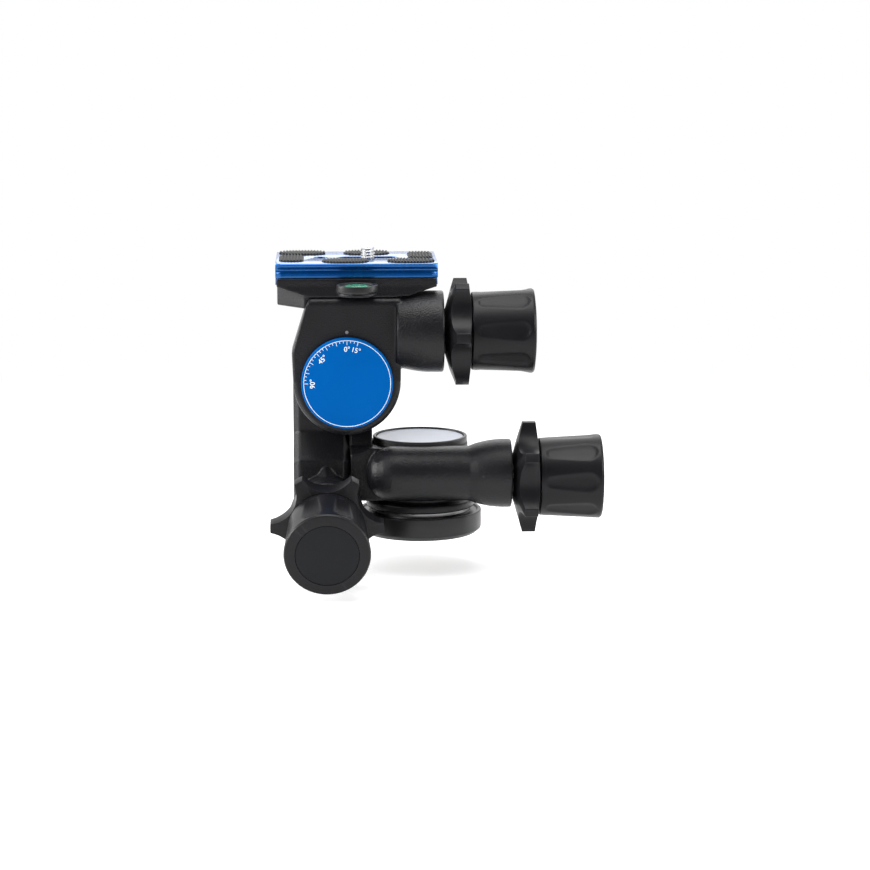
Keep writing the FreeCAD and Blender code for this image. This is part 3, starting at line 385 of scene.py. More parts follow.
class Workshop:
    """Makes, joins, cuts and finishes meshes."""

    voxel = 0.45

    @staticmethod
    def mesh(name: str, points: Sequence[Sequence[float]], faces: Sequence[Sequence[int]],
             place: Optional[Matrix] = None) -> bpy.types.Object:
        """Makes an object at the origin whose mesh holds its place.

        Args:
            name: the object's name.
            points: corners in millimetres.
            faces: corner numbers of each face.
            place: the frame that the corners are given in.

        Returns:
            The object, with faces pointing outwards.
        """
        data = bpy.data.meshes.new(name)
        data.from_pydata([tuple(p) for p in points], [], [tuple(f) for f in faces])
        whole = Matrix.Scale(MM, 4) @ (place if place is not None else Matrix.Identity(4))
        data.transform(whole)
        Workshop.clean(data)
        thing = bpy.data.objects.new(name, data)
        bpy.context.scene.collection.objects.link(thing)
        return thing

    @staticmethod
    def clean(data: bpy.types.Mesh) -> None:
        """Merges double corners and turns the faces outwards."""
        shape = bmesh.new()
        shape.from_mesh(data)
        bmesh.ops.remove_doubles(shape, verts=shape.verts, dist=2e-6)
        bmesh.ops.dissolve_degenerate(shape, edges=shape.edges, dist=1e-7)
        bmesh.ops.recalc_face_normals(shape, faces=shape.faces)
        shape.to_mesh(data)
        shape.free()

    @staticmethod
    def lathe(name: str, profile: Sequence[Point2], place: Optional[Matrix] = None, sides: int = 96,
              closed: bool = False, rim: Optional[Rim] = None) -> bpy.types.Object:
        """Turns a profile of (radius, height) about Z.

        Args:
            name: the object's name.
            profile: radius and height of each ring, from one pole or edge to the other.
            place: the frame of the axis.
            sides: how many steps go round.
            closed: whether the last ring joins the first, as in a hollow piece.
            rim: a function of angle, radius and height that gives the radius to use.

        Returns:
            The object.
        """
        points: list[Point3] = []
        rings: list[list[int]] = []
        for radius, height in profile:
            if radius < 1e-6:
                points.append((0.0, 0.0, height))
                rings.append([len(points) - 1] * sides)
                continue
            ring = []
            for k in range(sides):
                angle = 2 * math.pi * k / sides
                reach = rim(angle, radius, height) if rim else radius
                points.append((reach * math.cos(angle), reach * math.sin(angle), height))
                ring.append(len(points) - 1)
            rings.append(ring)
        pairs = list(zip(rings, rings[1:]))
        if closed:
            pairs.append((rings[-1], rings[0]))
        faces = []
        for low, high in pairs:
            for k in range(sides):
                after = (k + 1) % sides
                face = [low[k], low[after], high[after], high[k]]
                slim = [n for j, n in enumerate(face) if n not in face[:j]]
                if len(slim) > 2:
                    faces.append(slim)
        if not closed:
            for ring in (rings[0], rings[-1]):
                if len(set(ring)) > 1:
                    faces.append(list(ring))
        return Workshop.mesh(name, points, faces, place)

    @staticmethod
    def loft(name: str, low: Sequence[Point2], low_height: float, high: Sequence[Point2], high_height: float,
             place: Optional[Matrix] = None) -> bpy.types.Object:
        """Joins two outlines of the same number of corners.

        Args:
            name: the object's name.
            low: the lower outline.
            low_height: its height.
            high: the upper outline.
            high_height: its height.
            place: the frame of the outlines.

        Returns:
            The object.
        """
        count = len(low)
        points = [(x, y, low_height) for x, y in low] + [(x, y, high_height) for x, y in high]
        faces = [list(range(count)), list(range(count, 2 * count))]
        for k in range(count):
            after = (k + 1) % count
            faces.append([k, after, count + after, count + k])
        return Workshop.mesh(name, points, faces, place)

    @staticmethod
    def prism(name: str, outline: Sequence[Point2], low: float, high: float,
              place: Optional[Matrix] = None) -> bpy.types.Object:
        """An outline drawn out between two heights."""
        return Workshop.loft(name, outline, low, outline, high, place)

    @staticmethod
    def box(name: str, x: Point2, y: Point2, z: Point2) -> bpy.types.Object:
        """A block between two corners, used only to join or cut."""
        return Workshop.prism(name, [(x[0], y[0]), (x[1], y[0]), (x[1], y[1]), (x[0], y[1])], z[0], z[1])

    @staticmethod
    def rod(name: str, radius: float, low: float, high: float, place: Matrix,
            sides: int = SEAT_SIDES) -> bpy.types.Object:
        """A round bar between two heights of a frame, used only to join or cut."""
        return Workshop.lathe(name, [(0, low), (radius, low), (radius, high), (0, high)], place, sides)

    @staticmethod
    def settle(thing: bpy.types.Object) -> bpy.types.Object:
        """Turns the object's modifiers into its mesh."""
        bpy.context.view_layer.update()
        graph = bpy.context.evaluated_depsgraph_get()
        fresh = bpy.data.meshes.new_from_object(thing.evaluated_get(graph))
        old = thing.data
        thing.modifiers.clear()
        thing.data = fresh
        fresh.name = thing.name
        if isinstance(old, bpy.types.Mesh):
            bpy.data.meshes.remove(old)
        return thing

    @staticmethod
    def boolean(thing: bpy.types.Object, others: Sequence[bpy.types.Object],
                operation: str) -> bpy.types.Object:
        """Joins, cuts or trims the first object with the others, which are used up.

        Args:
            thing: the object that is changed.
            others: the tools.
            operation: UNION, DIFFERENCE or INTERSECT.

        Returns:
            The changed object.
        """
        for other in others:
            step = thing.modifiers.new("step", "BOOLEAN")
            step.operation = operation
            step.solver = "MANIFOLD"
            step.object = other
            Workshop.settle(thing)
            bpy.data.objects.remove(other)
        return thing

    @staticmethod
    def cast(thing: bpy.types.Object, voxel: Optional[float] = None, passes: int = 6) -> bpy.types.Object:
        """Gives a joined shape the rounded edges of a casting.

        Args:
            thing: a closed shape.
            voxel: the size of the new mesh's cells in millimetres.
            passes: how often the corners are evened out.

        Returns:
            The same object with a dense smooth mesh.
        """
        cells = thing.modifiers.new("cells", "REMESH")
        cells.mode = "VOXEL"
        cells.voxel_size = (voxel or Workshop.voxel) * MM
        cells.use_smooth_shade = True
        ease = thing.modifiers.new("ease", "SMOOTH")
        ease.factor = 0.5
        ease.iterations = passes
        return Workshop.settle(thing)

    @staticmethod
    def bevel(thing: bpy.types.Object, width: float, segments: int = 2,
              angle: float = 35) -> bpy.types.Object:
        """Breaks the edges that are sharper than an angle.

        Args:
            thing: the object.
            width: how wide the broken edge is, in millimetres.
            segments: how many faces cross it.
            angle: the least angle between the faces, in degrees.

        Returns:
            The same object.
        """
        edges = thing.modifiers.new("edges", "BEVEL")
        edges.width = width * MM
        edges.segments = segments
        edges.limit_method = "ANGLE"
        edges.angle_limit = math.radians(angle)
        edges.harden_normals = False
        return Workshop.settle(thing)

    @staticmethod
    def shade(thing: bpy.types.Object, angle: float = 32) -> bpy.types.Object:
        """Shades the mesh smooth, with edges kept sharp from an angle up."""
        for face in thing.data.polygons:
            face.use_smooth = True
        thing.data.set_sharp_from_angle(angle=math.radians(angle))
        return thing


@dataclass
class Dresser:
    """Gives pieces their finish, body and stand-in, and keeps count."""

    pieces: list[str] = field(default_factory=list)

    def dress(self, thing: bpy.types.Object, finish: Finish, body: str, stands_for: Sequence[str] = (),
              turned_about: Optional[Matrix] = None, angle: float = 32) -> bpy.types.Object:
        """Finishes a piece and hands it to the frame.

        Args:
            thing: the piece.
            finish: its finish.
            body: the CAD body that it moves with.
            stands_for: the CAD nodes that it replaces.
            turned_about: the axis of a turned finish.
            angle: edges sharper than this stay sharp.

        Returns:
            The same object.
        """
        Workshop.shade(thing, angle)
        thing.data.materials.clear()
        thing.data.materials.append(finish.material(turned_about))
        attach(thing, body)
        if stands_for:
            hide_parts(*stands_for)
        self.pieces.append(thing.name)
        log.info("%s on %s: %d faces, %s", thing.name, body, len(thing.data.polygons), finish.name)
        return thing


class RepeatTree:
    """Geometry Nodes trees for what repeats: rings of copies and rows of ribs."""

    @staticmethod
    def socket(group: bpy.types.NodeTree, name: str, kind: str, default: object = None) -> None:
        """Adds a named input to a group."""
        made = group.interface.new_socket(name=name, in_out="INPUT", socket_type=kind)
        if default is not None:
            made.default_value = default

    @staticmethod
    def ring() -> bpy.types.NodeTree:
        """Copies of an object round the Z axis, with some of them stretched along their spoke.

        Returns:
            The node group.
        """
        made = bpy.data.node_groups.get("copies_on_a_ring")
        if made is not None:
            return made
        made = bpy.data.node_groups.new("copies_on_a_ring", "GeometryNodeTree")
        made.interface.new_socket(name="Geometry", in_out="OUTPUT", socket_type="NodeSocketGeometry")
        RepeatTree.socket(made, "Piece", "NodeSocketObject")
        RepeatTree.socket(made, "Count", "NodeSocketInt", 12)
        RepeatTree.socket(made, "Radius", "NodeSocketFloat", 0.01)
        RepeatTree.socket(made, "First Angle", "NodeSocketFloat", 0.0)
        RepeatTree.socket(made, "Step Angle", "NodeSocketFloat", 0.5)
        RepeatTree.socket(made, "Long Every", "NodeSocketInt", 1)
        RepeatTree.socket(made, "Long First", "NodeSocketInt", 0)
        RepeatTree.socket(made, "Long Stretch", "NodeSocketFloat", 1.0)
        RepeatTree.socket(made, "Material", "NodeSocketMaterial")
        tree = TreeWriter(made)
        entry = tree.add("NodeGroupInput").outputs
        index = tree.add("GeometryNodeInputIndex").outputs[0]
        angle = tree.math("ADD", entry["First Angle"], tree.math("MULTIPLY", index, entry["Step Angle"]))
        x = tree.math("MULTIPLY", entry["Radius"], tree.math("COSINE", angle))
        y = tree.math("MULTIPLY", entry["Radius"], tree.math("SINE", angle))
        spot = tree.add("ShaderNodeCombineXYZ", {"X": x, "Y": y}).outputs[0]
        points = tree.add("GeometryNodePoints", {"Count": entry["Count"], "Position": spot}).outputs[0]
        shifted = tree.math("SUBTRACT", index, entry["Long First"])
        rest = tree.math("FLOORED_MODULO", shifted, entry["Long Every"])
        is_long = tree.math("LESS_THAN", rest, 0.5)
        extra = tree.math("MULTIPLY", is_long, tree.math("SUBTRACT", entry["Long Stretch"], 1.0))
        length = tree.math("ADD", extra, 1.0)
        scale = tree.add("ShaderNodeCombineXYZ", {"X": length, "Y": 1.0, "Z": 1.0}).outputs[0]
        turn = tree.add("ShaderNodeCombineXYZ", {"Z": angle}).outputs[0]
        piece = tree.add("GeometryNodeObjectInfo", {"Object": entry["Piece"]}).outputs["Geometry"]
        copies = tree.add(
            "GeometryNodeInstanceOnPoints",
            {"Points": points, "Instance": piece, "Rotation": turn, "Scale": scale},
        ).outputs[0]
        real = tree.add("GeometryNodeRealizeInstances", {"Geometry": copies}).outputs[0]
        dressed = {"Geometry": real, "Material": entry["Material"]}
        done = tree.add("GeometryNodeSetMaterial", dressed).outputs[0]
        tree.add("NodeGroupOutput", {"Geometry": done})
        return made

    @staticmethod
    def ribs() -> bpy.types.NodeTree:
        """A row of ribs across a pad with rounded corners: each is as long as the pad is there.

        Returns:
            The node group.
        """
        made = bpy.data.node_groups.get("ribs_on_a_pad")
        if made is not None:
            return made
        made = bpy.data.node_groups.new("ribs_on_a_pad", "GeometryNodeTree")
        made.interface.new_socket(name="Geometry", in_out="OUTPUT", socket_type="NodeSocketGeometry")
        RepeatTree.socket(made, "Rib", "NodeSocketObject")
        RepeatTree.socket(made, "Count", "NodeSocketInt", 10)
        RepeatTree.socket(made, "Pitch", "NodeSocketFloat", 0.0015)
        RepeatTree.socket(made, "Half Width", "NodeSocketFloat", 0.01)
        RepeatTree.socket(made, "Half Depth", "NodeSocketFloat", 0.008)
        RepeatTree.socket(made, "Corner", "NodeSocketFloat", 0.004)
        RepeatTree.socket(made, "Material", "NodeSocketMaterial")
        tree = TreeWriter(made)
        entry = tree.add("NodeGroupInput").outputs
        index = tree.add("GeometryNodeInputIndex").outputs[0]
        middle = tree.math("DIVIDE", tree.math("SUBTRACT", entry["Count"], 1.0), 2.0)
        x = tree.math("MULTIPLY", tree.math("SUBTRACT", index, middle), entry["Pitch"])
        spot = tree.add("ShaderNodeCombineXYZ", {"X": x}).outputs[0]
        points = tree.add("GeometryNodePoints", {"Count": entry["Count"], "Position": spot}).outputs[0]
        straight = tree.math("SUBTRACT", entry["Half Width"], entry["Corner"])
        past = tree.math("MAXIMUM", tree.math("SUBTRACT", tree.math("ABSOLUTE", x), straight), 0.0)
        square = tree.math("MULTIPLY", entry["Corner"], entry["Corner"])
        drop = tree.math("MAXIMUM", tree.math("SUBTRACT", square, tree.math("MULTIPLY", past, past)), 0.0)
        arc = tree.math("SQRT", drop)
        half = tree.math("ADD", tree.math("SUBTRACT", entry["Half Depth"], entry["Corner"]), arc)
        scale = tree.add("ShaderNodeCombineXYZ", {"X": 1.0, "Y": half, "Z": 1.0}).outputs[0]
        piece = tree.add("GeometryNodeObjectInfo", {"Object": entry["Rib"]}).outputs["Geometry"]
        copies = tree.add(
            "GeometryNodeInstanceOnPoints",
            {"Points": points, "Instance": piece, "Scale": scale},
        ).outputs[0]
        real = tree.add("GeometryNodeRealizeInstances", {"Geometry": copies}).outputs[0]
        dressed = {"Geometry": real, "Material": entry["Material"]}
        done = tree.add("GeometryNodeSetMaterial", dressed).outputs[0]
        tree.add("NodeGroupOutput", {"Geometry": done})
        return made

    @staticmethod
    def grow(name: str, group: bpy.types.NodeTree, inputs: dict[str, object],
             place: Matrix) -> bpy.types.Object:
        """Runs a tree and keeps its result as a plain mesh.

        Args:
            name: the new object's name.
            group: the tree.
            inputs: its inputs by name, with lengths in metres.
            place: the frame of the result, in millimetres.

        Returns:
            The object.
        """
        thing = bpy.data.objects.new(name, bpy.data.meshes.new(name))
        bpy.context.scene.collection.objects.link(thing)
        step = thing.modifiers.new("repeat", "NODES")
        step.node_group = group
        for item in group.interface.items_tree:
            if item.item_type == "SOCKET" and item.in_out == "INPUT" and item.name in inputs:
                step[item.identifier] = inputs[item.name]
        thing.update_tag()
        Workshop.settle(thing)
        metres = place.copy()
        metres.translation = place.translation * MM
        thing.data.transform(metres)
        Workshop.clean(thing.data)
        return thing


@dataclass
class Marks:
    """Printed marks on a dial: ticks from a tree, figures, and rings."""

    thickness: float = 0.06
    size_over_height: float = 1.36
    embolden: float = 0.035

    def ticks(self, name: str, place: Matrix, radius: float, count: int, step: float, first: float,
              length: float, width: float, long_every: int, long_first: int,
              stretch: float) -> bpy.types.Object:
        """Radial strokes whose outer ends lie on a circle.

        Args:
            name: the object's name.
            place: the dial's face, with Z out of it.
            radius: the circle's radius.
            count: how many strokes.
            step: degrees between them.
            first: the first one's angle in degrees.
            length: the short ones' length.
            width: the strokes' width.
            long_every: how many strokes from one long one to the next.
            long_first: the first long one's number.
            stretch: the long ones' length over the short ones'.

        Returns:
            The object.
        """
        half = width / 2
        corners = [(-length, -half), (0, -half), (0, half), (-length, half)]
        stroke = Workshop.prism(name + "_stroke", corners, 0, self.thickness)
        inputs = {
            "Piece": stroke,
            "Count": count,
            "Radius": radius * MM,
            "First Angle": math.radians(first),
            "Step Angle": math.radians(step),
            "Long Every": long_every,
            "Long First": long_first,
            "Long Stretch": stretch,
        }
        made = RepeatTree.grow(name, RepeatTree.ring(), inputs, place)
        bpy.data.objects.remove(stroke)
        return made

    def figure(self, name: str, words: str, place: Matrix, radius: float, angle: float,
               height: float) -> bpy.types.Object:
        """A figure that stands on a circle with its foot towards the middle.

        Args:
            name: the object's name.
            words: the figure.
            place: the dial's face, with Z out of it.
            radius: the circle through the figure's middle.
            angle: its angle in degrees.
            height: the figure's height.

        Returns:
            The object.
        """
        curve = bpy.data.curves.new(name + "_text", "FONT")
        curve.body = words
        curve.align_x = "CENTER"
        curve.align_y = "CENTER"
        curve.size = height * self.size_over_height * MM
        curve.extrude = self.thickness / 2 * MM
        curve.offset = self.embolden * MM
        curve.resolution_u = 4
        writer = bpy.data.objects.new(name + "_text", curve)
        bpy.context.scene.collection.objects.link(writer)
        bpy.context.view_layer.update()
        graph = bpy.context.evaluated_depsgraph_get()
        data = bpy.data.meshes.new_from_object(writer.evaluated_get(graph))
        bpy.data.objects.remove(writer)
        spoke = math.radians(angle)
        spot = Matrix.Translation((radius * math.cos(spoke), radius * math.sin(spoke), self.thickness / 2))
        metres = place @ spot @ Matrix.Rotation(spoke - math.pi / 2, 4, "Z")
        metres.translation = metres.translation * MM
        data.transform(metres)
        Workshop.clean(data)
        thing = bpy.data.objects.new(name, data)
        bpy.context.scene.collection.objects.link(thing)
        return thing

    def ring(self, name: str, place: Matrix, radius: float, width: float) -> bpy.types.Object:
        """A thin printed circle."""
        inner = radius - width
        profile = [(inner, 0), (radius, 0), (radius, self.thickness), (inner, self.thickness)]
        return Workshop.lathe(name, profile, place, sides=192, closed=True)


def join(name: str, things: Sequence[bpy.types.Object]) -> bpy.types.Object:
    """Puts several meshes into one object without joining their surfaces.

    Args:
        name: the new object's name.
        things: the objects, which are used up.

    Returns:
        The new object.
    """
    shape = bmesh.new()
    for thing in things:
        shape.from_mesh(thing.data)
    data = bpy.data.meshes.new(name)
    shape.to_mesh(data)
    shape.free()
    for thing in things:
        bpy.data.objects.remove(thing)
    made = bpy.data.objects.new(name, data)
    bpy.context.scene.collection.objects.link(made)
    return made


TILT_SLOPE = math.radians(11.3)
PAN_DRIVE = frame_at((0, -22, 28), (0, 1, 0), (1, 0, 0))
TILT_DRIVE = frame_at(
    (-41.5, 16 * math.sin(TILT_SLOPE), 36.5 - 16 * math.cos(TILT_SLOPE)),
    (0, -math.sin(TILT_SLOPE), math.cos(TILT_SLOPE)),
    (0, -math.cos(TILT_SLOPE), -math.sin(TILT_SLOPE)),
)
SIDE_DRIVE = frame_at((-32.4, -18.5, 91.9), (0, 0, -1), (1, 0, 0))
TILT_AXIS = frame_at((0, 0, 36.5), (0, 1, 0), (1, 0, 0))
SIDE_AXIS = frame_at((-32.4, 0, 70.9), (0, 0, 1), (0, 1, 0))


@dataclass
class FineDrive:
    """One worm axis: end ring, release collar with its pins, and the fine knob with its cap."""

    name: str
    place: Matrix
    end: float
    flare: float
    carrier: str
    knob_turn: float = 0.0
    lobes: int = 6
    tip: float = 24.4
    hollow_radius: float = 13.0
    hollow_middle: float = 30.0
    tip_round: float = 1.1
    edge_break: float = 0.42
    pin_circle: float = 8.2
    first_pin: float = -75.0
    collar_gap: float = 0.6
    collar_height: float = 11.2
    knob_gap: float = 0.4
    knob_length: float = 27.6
    knob_root: float = 16.9
    knob_rim: float = 18.4
    flutes: int = 8
    flute_depth: float = 0.95
    flute_start: float = 2.6
    flute_ends: float = 5.4
    flute_nose: float = 4.2
    flute_tail: float = 1.4
    flute_half_angle: float = 8.5
    flute_widening: float = 6.5
    cap_depth: float = 1.6
    cap_radius: float = 13.5

    def build(self, dresser: Dresser) -> None:
        """Makes the drive's visible pieces."""
        self.end_ring(dresser)
        self.collar(dresser)
        self.pins(dresser)
        self.knob(dresser)
        self.cap(dresser)

    def end_ring(self, dresser: Dresser) -> None:
        """The turned cover in the barrel's mouth, with a shallow groove in its face."""
        outer = self.flare - 3
        profile = rounded([
            (3.04, self.end - 4), (6.48, self.end - 4), (6.48, self.end - 1.5), (outer, self.end - 1.5),
            (outer, self.end, 0.25), (7.4, self.end, 0.2), (7.0, self.end - 0.5, 0.2),
            (5.2, self.end - 0.5, 0.2), (4.8, self.end, 0.2), (3.04, self.end, 0.2),
        ], steps=3)
        ring = Workshop.lathe(self.name + "_end_ring_cover", profile, self.place, closed=True)
        dresser.dress(ring, TURNED_BLACK, self.carrier, [self.name + "_end_ring"], self.place)

    def collar(self, dresser: Dresser) -> None:
        """The release collar: a cone with six lobes left between hollows milled along the axis."""
        low = self.end + self.collar_gap
        profile = rounded([
            (3.3, low), (9.5, low, 0.4), (12.4, low + 0.9, 0.8), (self.tip, low + 4.3),
            (self.tip, low + 10.0), (15.4, low + self.collar_height, 0.8), (3.3, low + self.collar_height),
        ], steps=5)
        collar = Workshop.lathe(self.name + "_release_collar", profile, self.place, 180, closed=True)
        hollows = []
        for k in range(self.lobes):
            spoke = 2 * math.pi * k / self.lobes
            away = Vector((self.hollow_middle * math.cos(spoke), self.hollow_middle * math.sin(spoke), 0))
            place = self.place @ Matrix.Translation(away)
            hollows.append(Workshop.rod("hollow", self.hollow_radius, low - 2, low + 14, place, 120))
        Workshop.boolean(collar, hollows, "DIFFERENCE")
        self.round_tips(collar)
        Workshop.bevel(collar, self.edge_break, 3, 24)
        dresser.dress(collar, GRIP_GREY, self.name + "_release", [self.name + "_collar"], angle=40)

    def round_tips(self, collar: bpy.types.Object) -> None:
        """Rounds the two long edges of each lobe's tip."""
        back = self.place.inverted()
        shape = bmesh.new()
        shape.from_mesh(collar.data)
        chain = []
        for edge in shape.edges:
            low, high = (back @ (vert.co / MM) for vert in edge.verts)
            along = abs(low.x - high.x) < 0.02 and abs(low.y - high.y) < 0.02
            out = min(low.xy.length, high.xy.length) > self.tip - 0.1
            if along and out and len(edge.link_faces) == 2 and edge.calc_face_angle(0.0) > 0.5:
                chain.append(edge)
        bmesh.ops.bevel(
            shape, geom=chain, offset=self.tip_round * MM, segments=4, affect="EDGES", clamp_overlap=True,
            profile=0.5,
        )
        bmesh.ops.recalc_face_normals(shape, faces=shape.faces)
        shape.to_mesh(collar.data)
        shape.free()

    def pins(self, dresser: Dresser) -> None:
        """Small domed pins in the gap between barrel and collar."""
        low = self.end + 0.12
        profile = rounded([
            (0, low), (1.0, low, 0.35), (1.35, low + 0.5, 0.2), (1.35, low + 1.6), (0, low + 1.6),
        ], False, 4)
        pin = Workshop.lathe(self.name + "_pin", profile, None, 24)
        inputs = {
            "Piece": pin,
            "Count": 3,
            "Radius": self.pin_circle * MM,
            "First Angle": math.radians(self.first_pin),
            "Step Angle": math.radians(120),
            "Long Every": 1,
            "Long Stretch": 1.0,
        }
        made = RepeatTree.grow(self.name + "_collar_pins", RepeatTree.ring(), inputs, self.place)
        bpy.data.objects.remove(pin)
        dresser.dress(made, STEEL, self.name + "_release")

    def knob(self, dresser: Dresser) -> None:
        """The tapered grip with eight tongue-shaped flutes that end before its rim."""
        low = self.end + self.collar_gap + self.collar_height + self.knob_gap
        high = low + self.knob_length
        profile = rounded([
            (3.0, low), (self.knob_root, low, 0.5), (self.knob_rim, high - 1.5, 0.5),
            (self.knob_rim - 0.5, high - 0.55, 0.5), (13.6, high, 0.15),
            (self.cap_radius, high - self.cap_depth), (3.0, high - self.cap_depth),
        ], steps=6)
        dense = []
        steps = 40
        for here, after in zip(profile, profile[1:] + profile[:1]):
            dense.append(here)
            out, up = after[0] - here[0], after[1] - here[1]
            if abs(up) > 5:
                dense += [(here[0] + out * k / steps, here[1] + up * k / steps) for k in range(1, steps)]
        flute_length = self.knob_length - self.flute_ends

        def rim(angle: float, radius: float, height: float) -> float:
            """Takes the flutes out of the grip."""
            if radius < self.knob_root - 0.6:
                return radius
            share = (height - low - self.flute_start) / flute_length
            if not 0 < share < 1:
                return radius
            pitch = 2 * math.pi / self.flutes
            away = (angle - math.radians(self.knob_turn) + pitch / 2) % pitch - pitch / 2
            widening = self.flute_widening * math.sin(share * math.pi / 2)
            half = math.radians(self.flute_half_angle + widening)
            from_end = (1 - share) * flute_length
            from_start = share * flute_length
            nose = math.sqrt(max(0.0, 1 - max(0.0, 1 - from_end / self.flute_nose) ** 2))
            tail = math.sqrt(max(0.0, 1 - max(0.0, 1 - from_start / self.flute_tail) ** 2))
            half *= min(nose, tail)
            if half < 1e-4 or abs(away) >= half:
                return radius
            fall = 1 - (away / half) ** 2
            soft = fall * fall * (3 - 2 * fall) * 0.35 + fall * 0.65
            depth = self.flute_depth * (0.45 + 0.55 * share) * min(nose, tail)
            return radius - depth * soft

        grip = Workshop.lathe(self.name + "_fine_grip", dense, self.place, 256, closed=True, rim=rim)
        dresser.dress(grip, GRIP_GREY, self.name + "_fine", [self.name + "_knob"], angle=40)

    def cap(self, dresser: Dresser) -> None:
        """The dark disc let into the knob's end."""
        start = self.end + self.collar_gap + self.collar_height + self.knob_gap
        seat = start + self.knob_length - self.cap_depth
        edge = self.cap_radius - 0.05
        profile = rounded([(0, seat), (edge, seat), (edge, seat + 1.45, 0.15), (0, seat + 1.5)], False, 5)
        cap = Workshop.lathe(self.name + "_fine_cap", profile, self.place, 128)
        dresser.dress(cap, CAP_DARK, self.name + "_fine", [self.name + "_knob_cap"])


@dataclass
class Foot:
    """The round foot that the tripod's screw holds."""

    radius: float = 27.3
    height: float = 10.0
    post: float = 10.0
    post_top: float = 25.0
    bore: float = 6.0
    grub_circle: float = 12.0
    first_grub: float = 30.0
    thread_pitch: float = 1.5875
    thread_root: float = 4.3
    thread_crest: float = 4.02
    thread_depth: float = 0.7

    def build(self, dresser: Dresser) -> None:
        """Makes the foot, its bush and its grub screws."""
        profile = rounded([
            (self.bore, 0), (16, 0, 0.1), (16.4, 0.5, 0.2), (22.6, 0.5, 0.2), (23, 0, 0.2),
            (self.radius - 2.2, 0, 0.6), (self.radius, 1.9, 1.2), (self.radius, self.height, 0.55),
            (25.7, self.height, 0.35), (25.3, self.height - 0.8, 0.3), (22.6, self.height - 0.8, 0.3),
            (22.2, self.height, 0.2), (self.post, self.height, 0.3), (self.post, self.post_top, 0.3),
            (self.bore, self.post_top, 0.3),
        ], steps=5)
        foot = Workshop.lathe("foot_disc", profile, None, 192, closed=True)
        holes = [
            Workshop.rod("grub_room", 1.62, -1, 6, Matrix.Translation(self.grub_spot(k)), 32)
            for k in range(3)
        ]
        Workshop.boolean(foot, holes, "DIFFERENCE")
        dresser.dress(foot, TURNED_BLACK, "foot", ["base_disc"], Matrix.Identity(4))
        grub_profile = rounded([
            (0, 2.6), (0.8, 2.6), (0.8, 1.4), (1.3, 1.4, 0.2), (1.6, 1.8), (1.6, 6.8), (0, 6.8),
        ], False, 3)
        grub = Workshop.lathe("grub", grub_profile, None, 24)
        inputs = {
            "Piece": grub,
            "Count": 3,
            "Radius": self.grub_circle * MM,
            "First Angle": math.radians(self.first_grub),
            "Step Angle": math.radians(120),
            "Long Every": 1,
            "Long Stretch": 1.0,
        }
        made = RepeatTree.grow("foot_grub_screws", RepeatTree.ring(), inputs, Matrix.Identity(4))
        bpy.data.objects.remove(grub)
        dresser.dress(made, STEEL, "foot", ["base_grub_screws"])
        self.thread(dresser)

    def grub_spot(self, number: int) -> Vector:
        """The place of one grub screw."""
        angle = math.radians(self.first_grub + 120 * number)
        return Vector((self.grub_circle * math.cos(angle), self.grub_circle * math.sin(angle), 0))

    def thread(self, dresser: Dresser) -> None:
        """The brass bush with its screw thread cut inside."""
        profile = [(self.bore, 0.4), (self.bore, 9.4), (4.9, 9.4)]
        steps = 90
        profile += [(self.thread_root, 9.0 - 8.2 * k / steps) for k in range(steps + 1)]
        profile += [(4.9, 0.4)]

        def rim(angle: float, radius: float, height: float) -> float:
            """Winds the thread up the bore."""
            if radius != self.thread_root:
                return radius
            turn = (height / self.thread_pitch - angle / (2 * math.pi)) % 1.0
            return self.thread_crest + self.thread_depth * abs(2 * turn - 1)

        bush = Workshop.lathe("foot_thread_bush", profile, None, 64, closed=True, rim=rim)
        dresser.dress(bush, BRASS, "foot", ["tripod_bush"])


